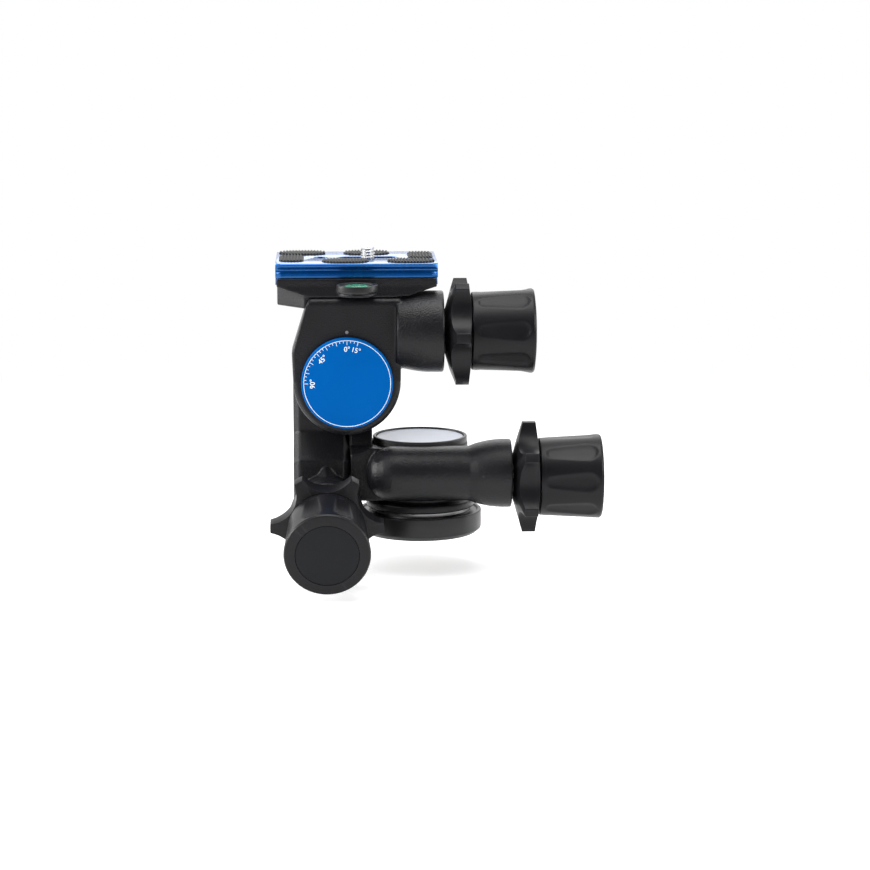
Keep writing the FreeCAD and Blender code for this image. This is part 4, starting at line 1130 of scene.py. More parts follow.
@dataclass
class PanHousing:
    """The casting that turns on the foot, its rim, and the pale dial."""

    wall: float = 21.2
    top: float = 40.5
    barrel_rise: float = 1.7
    end: float = 39.0
    flare: float = 15.0
    floor: float = 24.4
    tilt_height: float = 36.5
    swings: tuple = (10, 16, 22, 26, 30)
    cells: float = 0.49

    def build(self, dresser: Dresser) -> None:
        """Makes the casting, the slip ring, the rim and the dial."""
        self.casting(dresser)
        self.split_ring(dresser)
        self.dial(dresser)

    def casting(self, dresser: Dresser) -> None:
        """The cup with its worm barrel and the flange of the front tilt."""
        cup = Workshop.lathe("cup", rounded([
            (0, 11.5), (24, 11.5, 0.5), (24, 15, 0.5), (self.wall, 15.8, 0.8), (self.wall, self.top, 0.4),
            (0, self.top),
        ], False, 4), None, 144)
        barrel_profile = [
            (0, -23.5), (4, -23.2), (7, -22), (9.4, -20), (11.2, -17), (12, -13.6), (12, 20.4), (12.3, 21.2),
            (13.2, 23.6), (13.9, 26.4), (14.45, 29.2), (14.8, 32), (15, 35), (15, 38.5), (14.6, 39), (0, 39),
        ]
        raised = Matrix.Translation((0, 0, self.barrel_rise)) @ PAN_DRIVE
        barrel = Workshop.lathe("pan_barrel", barrel_profile, raised, 96)
        flange = Workshop.rod("tilt_flange", 13.5, -31, -21.3, TILT_AXIS, 96)
        upright = frame_at((0, 0, 0), (1, 0, 0), (0, -1, 0))
        web_outline = [
            (-31, 17), (-2, 17), (-3, 20), (-7, 23), (-10, 27), (-12.4, 33), (-14.2, 40.4), (-31, 40.4),
        ]
        web = Workshop.prism("front_web", web_outline, 0, 19.5, upright)
        back = Workshop.box("back_web", (-31, -6), (-12, 11), (17, 35))
        body = Workshop.boolean(cup, [barrel, flange, web, back], "UNION")
        cutters = [
            Workshop.rod("cavity", 18.6, self.floor, CUT_PAST, Matrix.Identity(4), BARREL_SIDES),
            Workshop.rod("post_room", 10.04, 0, 30, Matrix.Identity(4)),
            Workshop.rod("drive_room", *DRIVE_ROOM, CUT_PAST, PAN_DRIVE, BORE_SIDES),
            Workshop.rod("ring_room", self.flare - RING_SEAT, self.end - 1.5, CUT_PAST, PAN_DRIVE),
            Workshop.rod("axle_room", 5.0, -40, -23, TILT_AXIS, BORE_SIDES),
        ]
        pivot = Matrix.Translation((0, 0, self.tilt_height))
        for angle in self.swings:
            swing = pivot @ Matrix.Rotation(math.radians(angle), 4, "X") @ pivot.inverted() @ SIDE_AXIS
            cutters.append(Workshop.rod("swing_room", 23.9, -27.7, -9.4, swing, 128))
        Workshop.boolean(body, cutters, "DIFFERENCE")
        body.name = "pan_casting"
        Workshop.cast(body, self.cells)
        dresser.dress(body, CAST_BLACK, "pan", ["pan_housing"], angle=60)

    def split_ring(self, dresser: Dresser) -> None:
        """The thin slip ring that closes the split between the flange and the arm."""
        profile = rounded([(5.1, -31.36), (13.2, -31.36, 0.1), (13.2, -30.8), (5.1, -30.8)], steps=3)
        ring = Workshop.lathe("tilt_slip_ring", profile, TILT_AXIS, 96, closed=True)
        dresser.dress(ring, TURNED_BLACK, "pan", (), TILT_AXIS)

    def dial(self, dresser: Dresser) -> None:
        """The dark rim and the pale disc that it holds."""
        rim_profile = rounded([
            (17.4, self.top), (20.9, self.top), (20.9, 43.1, 0.5), (19.5, 43.1, 0.3), (19.3, 41.0),
            (17.4, 41.0),
        ], steps=5)
        rim = Workshop.lathe("pan_dial_rim", rim_profile, None, 192, closed=True)
        dresser.dress(rim, TURNED_BLACK, "pan", ["pan_rim"], Matrix.Identity(4))
        face = 42.4
        disc_profile = rounded([(0, 41.0), (19.2, 41.0), (19.2, face, 0.2), (0, face)], False, 3)
        disc = Workshop.lathe("pan_dial_disc", disc_profile, None, 192)
        dresser.dress(disc, PALE_DIAL, "pan", ["pan_dial"], Matrix.Identity(4))


@dataclass
class Arm:
    """The bracket between the two tilts."""

    left: float = -56.0
    right: float = -31.4
    plate: float = 22.5
    flare: float = 16.2
    front_chamfer: float = 2.6
    nut_radius: float = 9.0

    def build(self, dresser: Dresser) -> None:
        """Makes the bracket, the cap of the front tilt and the nut of the side tilt."""
        self.casting(dresser)
        self.tilt_cap(dresser)
        self.nut(dresser)

    def casting(self, dresser: Dresser) -> None:
        """The bent block with its round plate and worm barrel."""
        side = frame_at((0, 0, 0), (0, 1, 0), (1, 0, 0))
        outline = [
            (-20, 11), (8, 11), (17, 27.5), (17, 44.5), (8, 58.9), (8, 71.9), (-9.6, 71.9), (-9.6, 46.5),
            (-20, 35.4),
        ]
        block = Workshop.prism("arm_block", outline, self.left, self.right, side)
        self.chamfer_front(block)
        plate = Workshop.rod("arm_plate", self.plate, -9.6, 8, SIDE_AXIS, 128)
        barrel_profile = [(0, 3), (12.6, 3), (12.6, 20), (13.4, 25), (15.2, 31), (15.4, 33), (0, 33)]
        barrel = Workshop.lathe("arm_barrel", barrel_profile, TILT_DRIVE, 96)
        sides = Workshop.box("arm_sides", (self.left, self.right), (-60, 30), (-20, 60))
        Workshop.boolean(barrel, [sides], "INTERSECT")
        flare = self.flare
        lip_profile = [(0, 30), (15.0, 31), (flare, 35), (flare, 39.8), (flare - 0.5, 40.3), (0, 40.3)]
        lip = Workshop.lathe("arm_lip", lip_profile, TILT_DRIVE, 96)
        foot = rounded([(6, -8), (11.4, -5.2), (18.4, 0, 2.4), (11.4, 5.2), (6, 8)], steps=5)
        tip = [(x * 0.84, y * 0.84) for x, y in foot]
        ridge = Workshop.loft("arm_ridge", foot, 16, tip, 35, TILT_DRIVE)
        body = Workshop.boolean(block, [plate, barrel, lip, ridge], "UNION")
        cutters = [
            Workshop.rod("wheel_room", 12.6, -45.1, -20, TILT_AXIS, BARREL_SIDES),
            Workshop.rod("axle_room", AXLE_ROOM, -CUT_PAST, -20, TILT_AXIS, BORE_SIDES),
            Workshop.rod("cap_room", 10.0, -CUT_PAST, -53.4, TILT_AXIS),
            Workshop.rod("drive_room", *DRIVE_ROOM, CUT_PAST, TILT_DRIVE, BORE_SIDES),
            Workshop.rod("ring_room", flare - RING_SEAT, 38.8, CUT_PAST, TILT_DRIVE),
            Workshop.rod("pin_room", 5.0, -15, 15, SIDE_AXIS, BORE_SIDES),
            Workshop.rod("flange_room", 14.0, self.right, -1, TILT_AXIS, BARREL_SIDES),
        ]
        Workshop.boolean(body, cutters, "DIFFERENCE")
        body.name = "arm_casting"
        Workshop.cast(body)
        dresser.dress(body, CAST_BLACK, "bracket", ["arm"], angle=60)

    def chamfer_front(self, block: bpy.types.Object) -> None:
        """Bevels the two long front edges of the block, down both faces and the slope between."""
        shape = bmesh.new()
        shape.from_mesh(block.data)
        chain = []
        for edge in shape.edges:
            ends = [vert.co / MM for vert in edge.verts]
            along_side = abs(ends[0].x - ends[1].x) < 0.01
            in_front = all(end.y < -9.5 for end in ends)
            if along_side and in_front:
                chain.append(edge)
        bmesh.ops.bevel(
            shape, geom=chain, offset=self.front_chamfer * MM, segments=1, affect="EDGES",
            clamp_overlap=False,
        )
        bmesh.ops.recalc_face_normals(shape, faces=shape.faces)
        shape.to_mesh(block.data)
        shape.free()

    def tilt_cap(self, dresser: Dresser) -> None:
        """The round cap in the arm's left face."""
        low = self.left + 0.1
        profile = rounded([
            (0, low + 0.5), (2.2, low + 0.5, 0.1), (2.7, low, 0.2), (8.6, low, 0.3), (9.6, low + 0.8, 0.3),
            (9.6, low + 2.2), (0, low + 2.2),
        ], False, 4)
        cap = Workshop.lathe("front_tilt_cap", profile, TILT_AXIS, 96)
        dresser.dress(cap, TURNED_BLACK, "pan", ["tilt_cap"], TILT_AXIS)

    def nut(self, dresser: Dresser) -> None:
        """The hexagon nut behind the arm's round plate."""
        turns = [k * math.pi / 3 for k in range(6)]
        corners = [(self.nut_radius * math.cos(turn), self.nut_radius * math.sin(turn)) for turn in turns]
        nut = Workshop.prism("nut_blank", corners, 8, 12, SIDE_AXIS)
        cone_profile = [(0, 7), (9.4, 7), (9.4, 11.2), (7.9, 12.05), (0, 12.05)]
        cone = Workshop.lathe("nut_cone", cone_profile, SIDE_AXIS, 96)
        Workshop.boolean(nut, [cone], "INTERSECT")
        hole = Workshop.rod("nut_hole", 5.0, 6, 14, SIDE_AXIS, 64)
        Workshop.boolean(nut, [hole], "DIFFERENCE")
        Workshop.bevel(nut, 0.2)
        nut.name = "side_tilt_nut"
        dresser.dress(nut, STEEL, "bracket", ["side_nut"])


@dataclass
class TopHousing:
    """The casting that tilts sideways, its index dot, and the blue dial before it."""

    radius: float = 23.3
    front: float = -27.0
    back: float = -10.0
    top: float = 107.6
    middle: float = -32.4
    height: float = 70.9
    dial_radius: float = 19.8
    dial_face: float = -30.3
    flare: float = 17.7
    top_round: float = 3.4
    left_chamfer: float = 2.2
    figures: tuple = (("15°", 75), ("0°", 90), ("45°", 135), ("90°", 180))
    figure_height: float = 2.2

    def build(self, dresser: Dresser) -> None:
        """Makes the casting, the dot and the dial."""
        self.casting(dresser)
        self.dot(dresser)
        self.dial(dresser)

    def casting(self, dresser: Dresser) -> None:
        """The flat-sided housing with a round foot and the worm barrel to the right."""
        upright = frame_at((0, 0, 0), (1, 0, 0), (0, -1, 0))
        outline = [
            (-55.7, 70.9), (-9.1, 70.9), (-9.1, self.top), (-48, self.top), (-49.8, 104.6), (-56.2, 83.9),
        ]
        block = Workshop.prism("housing_block", outline, -self.back, -self.front, upright)
        self.soften(block)
        disc_profile = [
            (0, self.back), (self.radius, self.back), (self.radius, self.front + 1.6),
            (self.radius - 1.6, self.front), (0, self.front),
        ]
        disc = Workshop.lathe("housing_disc", disc_profile, SIDE_AXIS, 160)
        shoulder_profile = [
            (0, 21.3), (15.1, 21.3), (15.5, 21.8), (16.2, 25), (17.0, 29), (17.5, 32.4), (self.flare, 35),
            (self.flare, 41.4), (17.2, 41.9), (0, 41.9),
        ]
        shoulder = Workshop.lathe("housing_barrel", shoulder_profile, SIDE_DRIVE, 112)
        body = Workshop.boolean(block, [disc, shoulder], "UNION")
        cutters = [
            Workshop.rod("wheel_room", 17.6, -22.2, 0, SIDE_AXIS, 112),
            Workshop.rod("axle_room", AXLE_ROOM, -40, 0, SIDE_AXIS, BORE_SIDES),
            Workshop.rod("drive_room", *DRIVE_ROOM, CUT_PAST, SIDE_DRIVE, BORE_SIDES),
            Workshop.rod("ring_room", self.flare - RING_SEAT, 40.4, CUT_PAST, SIDE_DRIVE),
        ]
        Workshop.boolean(body, cutters, "DIFFERENCE")
        body.name = "top_casting"
        Workshop.cast(body)
        dresser.dress(body, CAST_BLACK, "top", ["upper_housing"], angle=60)

    def soften(self, block: bpy.types.Object) -> None:
        """Rounds the block's front edge over the top and bevels it down the left."""
        shape = bmesh.new()
        shape.from_mesh(block.data)
        for width, segments, on_top in ((self.top_round, 5, True), (self.left_chamfer, 1, False)):
            chain = []
            for edge in shape.edges:
                ends = [vert.co / MM for vert in edge.verts]
                in_front = all(end.y < self.front + 0.05 for end in ends)
                level = all(end.z > self.top - 0.05 for end in ends)
                left = all(end.x < self.middle - 8 for end in ends) and not level
                if in_front and (level if on_top else left):
                    chain.append(edge)
            bmesh.ops.bevel(
                shape, geom=chain, offset=width * MM, segments=segments, affect="EDGES", clamp_overlap=True,
                profile=0.5,
            )
        bmesh.ops.recalc_face_normals(shape, faces=shape.faces)
        shape.to_mesh(block.data)
        shape.free()

    def dot(self, dresser: Dresser) -> None:
        """The pale index dot above the dial."""
        place = frame_at((self.middle, self.front, self.height + 21.8), (1, 0, 0), (0, -1, 0))
        profile = rounded([(0, -0.6), (0.72, -0.6), (0.72, 0.1, 0.15), (0, 0.2)], False, 4)
        dot = Workshop.lathe("index_dot", profile, place, 32)
        dresser.dress(dot, DOT_GREY, "top", ["index_mark"])

    def dial(self, dresser: Dresser) -> None:
        """The blue disc with its circle, scale and figures."""
        low = self.front - 0.3
        profile = rounded([
            (0, low), (self.dial_radius, low, 0.2), (self.dial_radius, self.dial_face, 0.55),
            (0, self.dial_face),
        ], False, 6)
        disc = Workshop.lathe("side_dial_disc", profile, SIDE_AXIS, 224)
        dresser.dress(disc, BLUE_DIAL, "bracket", ["side_dial"], SIDE_AXIS)
        face = frame_at((self.middle, self.dial_face + 0.01, self.height), (1, 0, 0), (0, -1, 0))
        marks = Marks()
        ring = marks.ring("circle", face, self.dial_radius * 0.952, 0.26)
        ticks = marks.ticks("ticks", face, self.dial_radius * 0.95, 22, 5, 75, 1.15, 0.22, 3, 0, 1.7)
        figures = [
            marks.figure(f"figure_{k}", words, face, self.dial_radius * 0.75, angle, self.figure_height)
            for k, (words, angle) in enumerate(self.figures)
        ]
        made = join("side_dial_marks", [ring, ticks, *figures])
        dresser.dress(made, WHITE_INK, "bracket")


@dataclass
class Clamp:
    """The quick-release clamp: its bed, sliding jaw, screw and knob."""

    middle: float = -28.0
    left: float = -62.5
    right: float = 6.5
    bed: float = 112.2
    top: float = 115.8
    housing_top: float = 107.6
    screw_height: float = 104.6
    cells: float = 0.42
    hollow_radius: float = 3.4
    hollow_circle: float = 12.6
    hollow_floor: float = 7.0

    def build(self, dresser: Dresser) -> None:
        """Makes the bed, jaw and knob."""
        self.base(dresser)
        self.jaw(dresser)
        self.knob(dresser)

    def base(self, dresser: Dresser) -> None:
        """The tapered bed with its fixed front jaw, left wing and level tab."""
        low = [(-48.4, -26), (-7.4, -26), (-7.4, 17), (-48.4, 17)]
        high = [(self.left, -25), (self.right, -25), (self.right, 25), (self.left, 25)]
        bed = Workshop.loft("bed", low, self.housing_top, high, self.bed)
        side = frame_at((0, 0, 0), (0, 1, 0), (1, 0, 0))
        jaw_outline = [(-25, 112), (-20.3, 112), (-20.3, 112.4), (-17.3, self.top), (-25, self.top)]
        jaw = Workshop.prism("fixed_jaw", jaw_outline, self.left, self.right, side)
        wing_outline = [(self.left, -10), (-50.6, -24), (-45, -24), (-45, 17), (-56.5, 17), (self.left, 11)]
        wing = Workshop.prism("wing", wing_outline, 102.6, self.bed)
        tab = Workshop.rod("tab", 8.2, 109.9, 111.5, Matrix.Translation((self.middle, -38, 0)), 96)
        neck = Workshop.box("neck", (self.middle - 8.2, self.middle + 8.2), (-38, -24), (109.9, 111.5))
        boss = Workshop.box("boss", (-35, -21), (-9.4, 17), (99.6, 108.6))
        body = Workshop.boolean(bed, [jaw, wing, tab, neck, boss], "UNION")
        screw = frame_at((self.middle, 0, self.screw_height), (0, 0, 1), (0, 1, 0))
        cutters = [
            Workshop.rod("barrel_room", 17.85, 21.3, 80, SIDE_DRIVE, 112),
            Workshop.rod("screw_room", 2.6, -1, 30, screw, 32),
        ]
        for x in (-43.4, -13.4):
            cutters.append(Workshop.rod("bolt_room", 2.7, 109.6, 120, Matrix.Translation((x, -18.5, 0)), 32))
        Workshop.boolean(body, cutters, "DIFFERENCE")
        body.name = "clamp_bed"
        Workshop.cast(body, self.cells, 4)
        dresser.dress(body, CAST_BLACK, "top", ["clamp_base"], angle=60)

    def jaw(self, dresser: Dresser) -> None:
        """The jaw behind that slides on the bed, with its leaf round the screw."""
        side = frame_at((0, 0, 0), (0, 1, 0), (1, 0, 0))
        outline = [(17.3, self.top), (20.3, 112.5), (28, 112.5), (28, self.top)]
        slide = Workshop.prism("jaw_slide", outline, self.left, self.right, side)
        leaf_outline = [(25.4, 98.6), (30, 98.6), (30, self.top), (25.4, self.top)]
        leaf = Workshop.prism("leaf", leaf_outline, -39, -17, side)
        body = Workshop.boolean(slide, [leaf], "UNION")
        screw = frame_at((self.middle, 0, self.screw_height), (0, 0, 1), (0, 1, 0))
        Workshop.boolean(body, [Workshop.rod("screw_room", 2.54, 20, 40, screw, 32)], "DIFFERENCE")
        body.name = "clamp_sliding_jaw"
        Workshop.cast(body, self.cells, 4)
        dresser.dress(body, CAST_BLACK, "jaw", ["clamp_jaw"], angle=60)

    def knob(self, dresser: Dresser) -> None:
        """The clamp's hand knob with six hollows."""
        place = frame_at((self.middle, 0, self.screw_height), (0, 0, 1), (0, 1, 0))
        profile = rounded([
            (2.5, 30.4), (6, 30.4, 0.4), (7, 32.5, 0.4), (10, 33.5, 0.6), (10.5, 43, 0.9), (9, 44.2, 0.5),
            (0, 44.2), (0, 40), (2.5, 40),
        ], steps=5)
        profile = [(max(radius, POLE), height) for radius, height in profile]

        def rim(angle: float, radius: float, height: float) -> float:
            """Takes six hollows out of the rim."""
            if radius < 7.6 or height < 32.6:
                return radius
            pitch = math.pi / 3
            away = (angle + pitch / 2) % pitch - pitch / 2
            across = self.hollow_circle * math.sin(away)
            if abs(across) >= self.hollow_radius:
                return radius
            floor = self.hollow_floor
            cut = self.hollow_circle * math.cos(away) - math.sqrt(self.hollow_radius ** 2 - across ** 2)
            return min(radius, floor + (radius - floor) * max(0.0, cut - floor) / 3.5)

        knob = Workshop.lathe("clamp_hand_knob", profile, place, 192, closed=True, rim=rim)
        dresser.dress(knob, GRIP_GREY, "clamp_hand", ["clamp_knob"], angle=40)


@dataclass
class Level:
    """The round level on the clamp's tab."""

    middle: Point2 = (-28.0, -38.0)
    floor: float = 111.4
    radius: float = 8.9
    vial: float = 5.9
    bubble: float = 1.7
    bubble_rise: float = 0.14

    def build(self, dresser: Dresser) -> None:
        """Makes the cup, the green liquid with its bubble and ring, and the glass."""
        place = Matrix.Translation((*self.middle, self.floor))
        cup_profile = rounded([
            (POLE, 0), (self.radius - 0.5, 0, 0.2), (self.radius, 0.8, 0.3), (self.radius, 3.3, 0.4),
            (self.radius - 1.3, 3.3, 0.4), (self.radius - 1.7, 2.3, 0.3), (self.vial + 0.1, 2.3, 0.2),
            (self.vial + 0.1, 1), (POLE, 1),
        ], steps=5)
        cup = Workshop.lathe("level_ring", cup_profile, place, 128, closed=True)
        dresser.dress(cup, TURNED_BLACK, "top", ["level_cup"], place)
        vial_profile = rounded([
            (0, 1), (self.vial, 1), (self.vial, 2.7, 0.4), (4, 3.05, 3), (0, 3.15),
        ], False, 4)
        vial = Workshop.lathe("level_liquid", vial_profile, place, 96)
        dresser.dress(vial, LEVEL_GREEN, "top", ["level_vial"])
        lens_profile = rounded([
            (0, 3.3), (4, 3.2, 3), (self.vial, 2.85), (self.vial, 3.0, 0.1), (4, 3.4, 3), (0, 3.5),
        ], False, 6)
        lens = Workshop.lathe("level_window", lens_profile, place, 96)
        dresser.dress(lens, LEVEL_GLASS, "top", ["level_lens"])
        mark_place = Matrix.Translation((*self.middle, self.floor + 3.1))
        mark = Marks(0.07).ring("level_circle", mark_place, 2.9, 0.3)
        dresser.dress(mark, BLACK_INK, "top")
        turns = [k * math.pi / 16 for k in range(9)]
        bubble_profile = [(self.bubble * math.sin(turn), self.bubble_rise * math.cos(turn)) for turn in turns]
        bubble_profile += [(self.bubble, -0.1), (0, -0.1)]
        bubble = Workshop.lathe("level_bubble", bubble_profile, mark_place, 48)
        dresser.dress(bubble, BUBBLE_PALE, "top")


@dataclass
class Plate:
    """The quick-release plate with its pads, washer and camera screw."""

    middle: float = -28.0
    length: float = 70.0
    top: float = 122.2
    bottom: float = 116.0
    slot: float = -22.8
    pitch: float = 1.36
    pads: tuple = (
        (-23.65, 16.3, 20.5, 14.0, 6.8), (4.8, 16.0, 20.4, 15.0, 7.2), (28.2, 6.0, 10.8, 23.0, 4.4),
    )
    half_depth: float = 25.0
    groove_low: float = 1.4
    groove_high: float = 4.8
    groove_depth: float = 2.1
    below: float = 110.0
    above: float = 125.0
    slot_half_length: float = 13.0
    slot_half_width: float = 3.4
    slot_round: float = 3.3
    thread_pitch: float = 1.27
    shank: float = 3.0

    def build(self, dresser: Dresser) -> None:
        """Makes the plate, its pads and what is let into its slot."""
        self.body(dresser)
        self.rubber(dresser)
        self.washer(dresser)
        self.screw(dresser)

    def side_outline(self) -> list[Point2]:
        """The plate's section: a dovetail below and a long hollow in each edge."""
        groove = []
        edge = self.half_depth
        for k in range(9):
            share = k / 8
            rise = self.groove_low + (self.groove_high - self.groove_low) * share
            inset = self.groove_depth * math.sin(math.pi * share) ** 0.6
            groove.append((edge - inset, self.bottom + rise))
        right = [(20.0, 112.6), (17.0, self.bottom), (24.7, self.bottom), (edge, self.bottom + 0.3), *groove]
        right += [(edge, self.top - 0.3), (24.7, self.top)]
        left = [(-y, z) for y, z in reversed(right)]
        return right + left

    def body(self, dresser: Dresser) -> None:
        """The blue plate, with its corners cut off and the slot and recesses milled in."""
        side = frame_at((0, 0, 0), (0, 1, 0), (1, 0, 0))
        start, end = self.middle - self.length / 2, self.middle + self.length / 2
        body = Workshop.prism("plate_body", self.side_outline(), start, end, side)
        cutters = []
        for x, toward in ((start, 1), (end, -1)):
            for y in (-self.half_depth, self.half_depth):
                inward = -1 if y > 0 else 1
                corner = [(x - toward, y - inward), (x + toward * 2.4, y - inward), (x + toward * 2.4, y),
                          (x, y + inward * 2.0), (x - toward, y + inward * 2.0)]
                cutters.append(Workshop.prism("corner", corner, self.below, self.above))
        near, far = self.slot - self.slot_half_length, self.slot + self.slot_half_length
        wide, bend = self.slot_half_width, self.slot_round
        slot_outline = rounded([
            (near, -wide, bend), (far, -wide, bend), (far, wide, bend), (near, wide, bend),
        ], steps=10)
        cutters.append(Workshop.prism("slot", slot_outline, self.below, self.above))
        recess_x = (self.slot - 17.5, self.slot + 17.5)
        cutters.append(Workshop.box("recess", recess_x, (-9, 9), (self.below, self.top - 3.2)))
        hole = rounded([
            (-46.4, -3.6, 2.8), (-40.6, -3.6, 2.8), (-40.6, 3.6, 2.8), (-46.4, 3.6, 2.8),
        ], steps=8)
        cutters.append(Workshop.prism("hole", hole, self.below, self.above))
        Workshop.boolean(body, cutters, "DIFFERENCE")
        Workshop.bevel(body, 0.16, 2, 30)
        dresser.dress(body, BLUE_METAL, "quick_plate", ["plate"])

    def rubber(self, dresser: Dresser) -> None:
        """Six pads: three behind, and the same three turned half round in front."""
        rib_section = rounded([(-0.44, 0.2), (0.44, 0.2), (0.36, 0.9, 0.2), (-0.36, 0.9, 0.2)], steps=3)
        along_y = frame_at((0, 0, 0), (1, 0, 0), (0, 1, 0))
        rib = Workshop.prism("rib", [(x, -z) for x, z in rib_section], -1, 1, along_y)
        for vert in rib.data.vertices:
            vert.co.y /= MM
        made = []
        for turn in (1, -1):
            for x, y, width, depth, corner in self.pads:
                spot = Matrix.Translation((self.middle + turn * x, turn * y, self.top))
                outline = rounded([(-width / 2, -depth / 2, corner), (width / 2, -depth / 2, corner),
                                   (width / 2, depth / 2, corner), (-width / 2, depth / 2, corner)], steps=8)
                made.append(Workshop.prism("pad_floor", outline, -0.02, 0.45, spot))
                inputs = {
                    "Rib": rib,
                    "Count": int(width / self.pitch),
                    "Pitch": self.pitch * MM,
                    "Half Width": width / 2 * MM,
                    "Half Depth": depth / 2 * MM,
                    "Corner": corner * MM,
                }
                made.append(RepeatTree.grow("pad_ribs", RepeatTree.ribs(), inputs, spot))
        bpy.data.objects.remove(rib)
        pads = join("plate_rubber_pads", made)
        dresser.dress(pads, RUBBER, "quick_plate", ["plate_pads"])

    def washer(self, dresser: Dresser) -> None:
        """The steel washer under the plate that slides with the camera screw."""
        place = Matrix.Translation((self.slot, 0, self.top))
        profile = rounded([(3.22, -4.7), (8.2, -4.7, 0.2), (8.2, -3.3, 0.2), (3.22, -3.3, 0.2)], steps=3)
        washer = Workshop.lathe("slot_washer", profile, place, 96, closed=True)
        dresser.dress(washer, STEEL, "carrier", ["screw_washer"])

    def screw(self, dresser: Dresser) -> None:
        """The camera screw with its thread, and a driver slot in its head."""
        place = Matrix.Translation((self.slot, 0, self.top))
        steps = 110
        profile = [(0, -9.1), (7.4, -9.1), (7.8, -8.7), (7.8, -4.8), (3.1, -4.8)]
        profile += [(self.shank, -4.7 + 9.3 * k / steps) for k in range(steps + 1)]
        profile += [(2.5, 4.9), (2.2, 5.0), (0, 5.0)]

        def rim(angle: float, radius: float, height: float) -> float:
            """Winds the thread up the shank."""
            if radius != self.shank:
                return radius
            turn = (height / self.thread_pitch - angle / (2 * math.pi)) % 1.0
            fade = min(1.0, (4.75 - height) / 0.8)
            return 2.5 + 0.67 * (1 - abs(2 * turn - 1)) * max(0.0, fade)

        screw = Workshop.lathe("camera_screw_thread", profile, place, 72, rim=rim)
        groove = Workshop.box("driver_slot", (self.slot - 9, self.slot + 9), (-0.9, 0.9), (112, 114.4))
        Workshop.boolean(screw, [groove], "DIFFERENCE")
        dresser.dress(screw, STEEL, "mount_screw", ["camera_screw"])


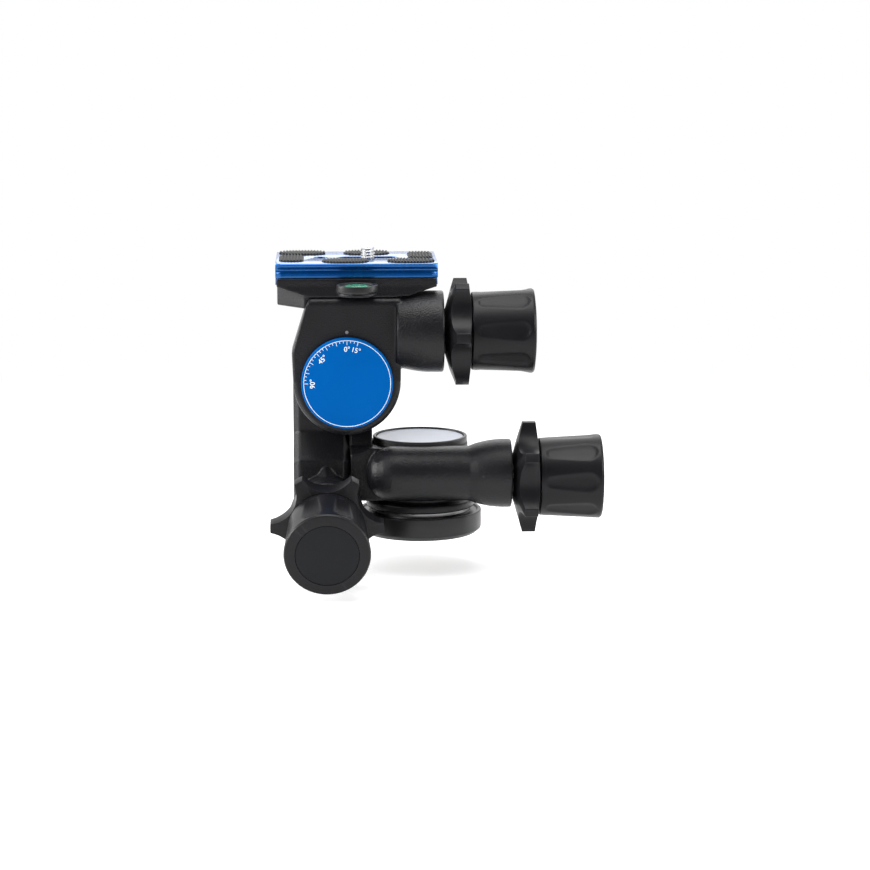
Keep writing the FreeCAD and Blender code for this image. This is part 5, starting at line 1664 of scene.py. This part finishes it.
@dataclass
class Studio:
    """Camera, world, lamps and floor."""

    camera_place: Point3 = (-0.04106, -1.14923, 0.24727)
    pitch: float = 10.08
    yaw: float = 2.38
    lens: float = 108.75
    floor_height: float = -0.0165
    front_glow: float = 0.07
    sky_light: float = 0.5
    floor_near: float = 0.22
    floor_far: float = 0.6
    floor_glow: float = 0.42
    floor_light: float = 0.5
    aim: Point3 = (-0.02, 0.0, 0.06)

    def build(self) -> None:
        """Makes the camera, the world, the lamps and the floor."""
        self.camera()
        self.world()
        self.lamp("key_left", (-0.9, -0.55, 0.6), 0.5, 7.5)
        self.lamp("key_right", (0.95, -0.45, 0.55), 0.5, 6.0)
        self.lamp("edge_left", (-1.0, 0.12, 0.3), 0.4, 7.0)
        self.lamp("edge_right", (1.0, 0.12, 0.05), 0.45, 4.0)
        self.lamp("top_soft", (0.0, -0.1, 1.0), 0.7, 8.0)
        self.lamp("back_soft", (0.1, 0.9, 0.6), 0.6, 2.0)
        self.floor()

    def camera(self) -> None:
        """The camera at the photograph's place."""
        data = bpy.data.cameras.new("camera")
        data.lens = self.lens
        data.sensor_width = 36.0
        data.clip_start = 0.05
        data.clip_end = 20.0
        camera = bpy.data.objects.new("camera", data)
        camera.location = self.camera_place
        camera.rotation_euler = (math.radians(90 - self.pitch), 0, math.radians(-self.yaw))
        bpy.context.scene.collection.objects.link(camera)
        bpy.context.scene.camera = camera

    def world(self) -> None:
        """White to the camera, to reflections and through glass, and softer as light."""
        world = bpy.data.worlds.new("studio")
        world.use_nodes = True
        bpy.context.scene.world = world
        tree = TreeWriter(world.node_tree)
        path = tree.add("ShaderNodeLightPath").outputs
        sky_spot = tree.add("ShaderNodeTexCoord").outputs["Object"]
        behind = tree.add("ShaderNodeSeparateXYZ", {"Vector": sky_spot}).outputs["Y"]
        mirror = {
            "Value": behind, "From Min": -0.1, "From Max": -0.75, "To Min": 1.0, "To Max": self.front_glow,
        }
        glow = tree.add("ShaderNodeMapRange", mirror).outputs[0]
        shown = tree.math("MAXIMUM", path["Is Camera Ray"], path["Is Transmission Ray"])
        glossy = tree.math("MULTIPLY", path["Is Glossy Ray"], glow)
        seen = tree.math("MAXIMUM", shown, glossy)
        strength = tree.math("MAXIMUM", seen, tree.math("MULTIPLY", path["Is Diffuse Ray"], self.sky_light))
        sky = tree.add("ShaderNodeBackground", {"Color": (1, 1, 1, 1), "Strength": strength})
        tree.add("ShaderNodeOutputWorld", {"Surface": sky.outputs[0]})

    def lamp(self, name: str, place: Point3, size: float, power: float) -> None:
        """A square soft lamp that looks at the head.

        Args:
            name: its name.
            place: its place in metres.
            size: the length of its side in metres.
            power: its power in watts.
        """
        data = bpy.data.lights.new(name, "AREA")
        data.shape = "SQUARE"
        data.size = size
        data.energy = power
        lamp = bpy.data.objects.new(name, data)
        lamp.location = place
        aim = Vector(self.aim) - Vector(place)
        lamp.rotation_euler = aim.to_track_quat("-Z", "Y").to_euler()
        bpy.context.scene.collection.objects.link(lamp)

    def floor(self) -> None:
        """The pale floor under the lowest knob, white to the camera with the head's shadow on it."""
        reach = 6000.0
        corners = [(-reach, -reach, 0), (reach, -reach, 0), (reach, reach, 0), (-reach, reach, 0)]
        place = Matrix.Translation((0, 0, self.floor_height / MM))
        sheet = Workshop.mesh("floor", corners, [(0, 1, 2, 3)], place)
        material = bpy.data.materials.new("floor_white")
        material.use_nodes = True
        tree = TreeWriter(material.node_tree)
        path = tree.add("ShaderNodeLightPath").outputs
        bounced = tree.math("MAXIMUM", path["Is Glossy Ray"], path["Is Transmission Ray"])
        seen = tree.math("MAXIMUM", path["Is Camera Ray"], bounced)
        paint = tree.add("ShaderNodeBsdfDiffuse", {"Color": (0.86, 0.86, 0.86, 1)})
        glow = tree.math("MULTIPLY", seen, self.floor_glow)
        part = tree.add("ShaderNodeEmission", {"Color": (1, 1, 1, 1), "Strength": glow})
        lit = tree.add("ShaderNodeAddShader", {0: paint.outputs[0], 1: part.outputs[0]})
        light = tree.math("MAXIMUM", seen, self.floor_light)
        plain = tree.add("ShaderNodeEmission", {"Color": (1, 1, 1, 1), "Strength": light})
        spot = tree.add("ShaderNodeTexCoord").outputs["Object"]
        away = tree.add("ShaderNodeVectorMath", {0: spot}, operation="LENGTH").outputs["Value"]
        span = {"Value": away, "From Min": self.floor_near, "From Max": self.floor_far}
        share = tree.add("ShaderNodeMapRange", span).outputs[0]
        both = tree.add("ShaderNodeMixShader", {0: share, 1: lit.outputs[0], 2: plain.outputs[0]})
        tree.add("ShaderNodeOutputMaterial", {"Surface": both.outputs[0]})
        sheet.data.materials.append(material)


class Carried:
    """The CAD nodes that keep their own shape."""

    FINISHES = {
        "pan_worm": STEEL, "tilt_worm": STEEL, "side_worm": STEEL,
        "pan_wheel": BRASS, "tilt_wheel": BRASS, "side_wheel": BRASS,
        "pan_bushes": BRASS, "tilt_bushes": BRASS, "side_bushes": BRASS,
        "thrust_washer": STEEL, "keeper_washer": STEEL, "clamp_bolts": STEEL, "clamp_screw": STEEL,
        "tilt_axle": STEEL, "side_axle": STEEL, "tilt_spacer": TURNED_BLACK, "side_spacer": TURNED_BLACK,
    }

    @staticmethod
    def dress(nodes: dict[str, bpy.types.Object]) -> None:
        """Gives each node that still shows a procedural finish.

        Args:
            nodes: the frame's nodes by name.
        """
        for name, node in sorted(nodes.items()):
            if node.hide_render:
                continue
            finish = Carried.FINISHES.get(name, CAST_BLACK)
            node.data.materials.clear()
            node.data.materials.append(finish.material())
            log.info("carried over %s: %s", name, finish.name)


def main() -> None:
    """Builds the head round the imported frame."""
    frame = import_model()
    bpy.context.scene.view_settings.view_transform = "Standard"
    studio = Studio()
    studio.build()
    dresser = Dresser()
    drives = [
        FineDrive("pan", PAN_DRIVE, 39.0, 15.0, "pan", knob_turn=-1.7),
        FineDrive("tilt", TILT_DRIVE, 40.3, 16.2, "bracket", knob_turn=22.5),
        FineDrive("side", SIDE_DRIVE, 41.9, 17.7, "top", knob_turn=-8.5),
    ]
    assemblies = [Foot(), PanHousing(), Arm(), TopHousing(), Clamp(), Level(), Plate(), *drives]
    for assembly in assemblies:
        log.info("building %s", type(assembly).__name__)
        assembly.build(dresser)
    Carried.dress(frame["nodes"])
    log.info("%d pieces made", len(dresser.pieces))


if __name__ == "__main__":
    logging.basicConfig(level=logging.INFO, format="%(name)s: %(message)s")
    main()
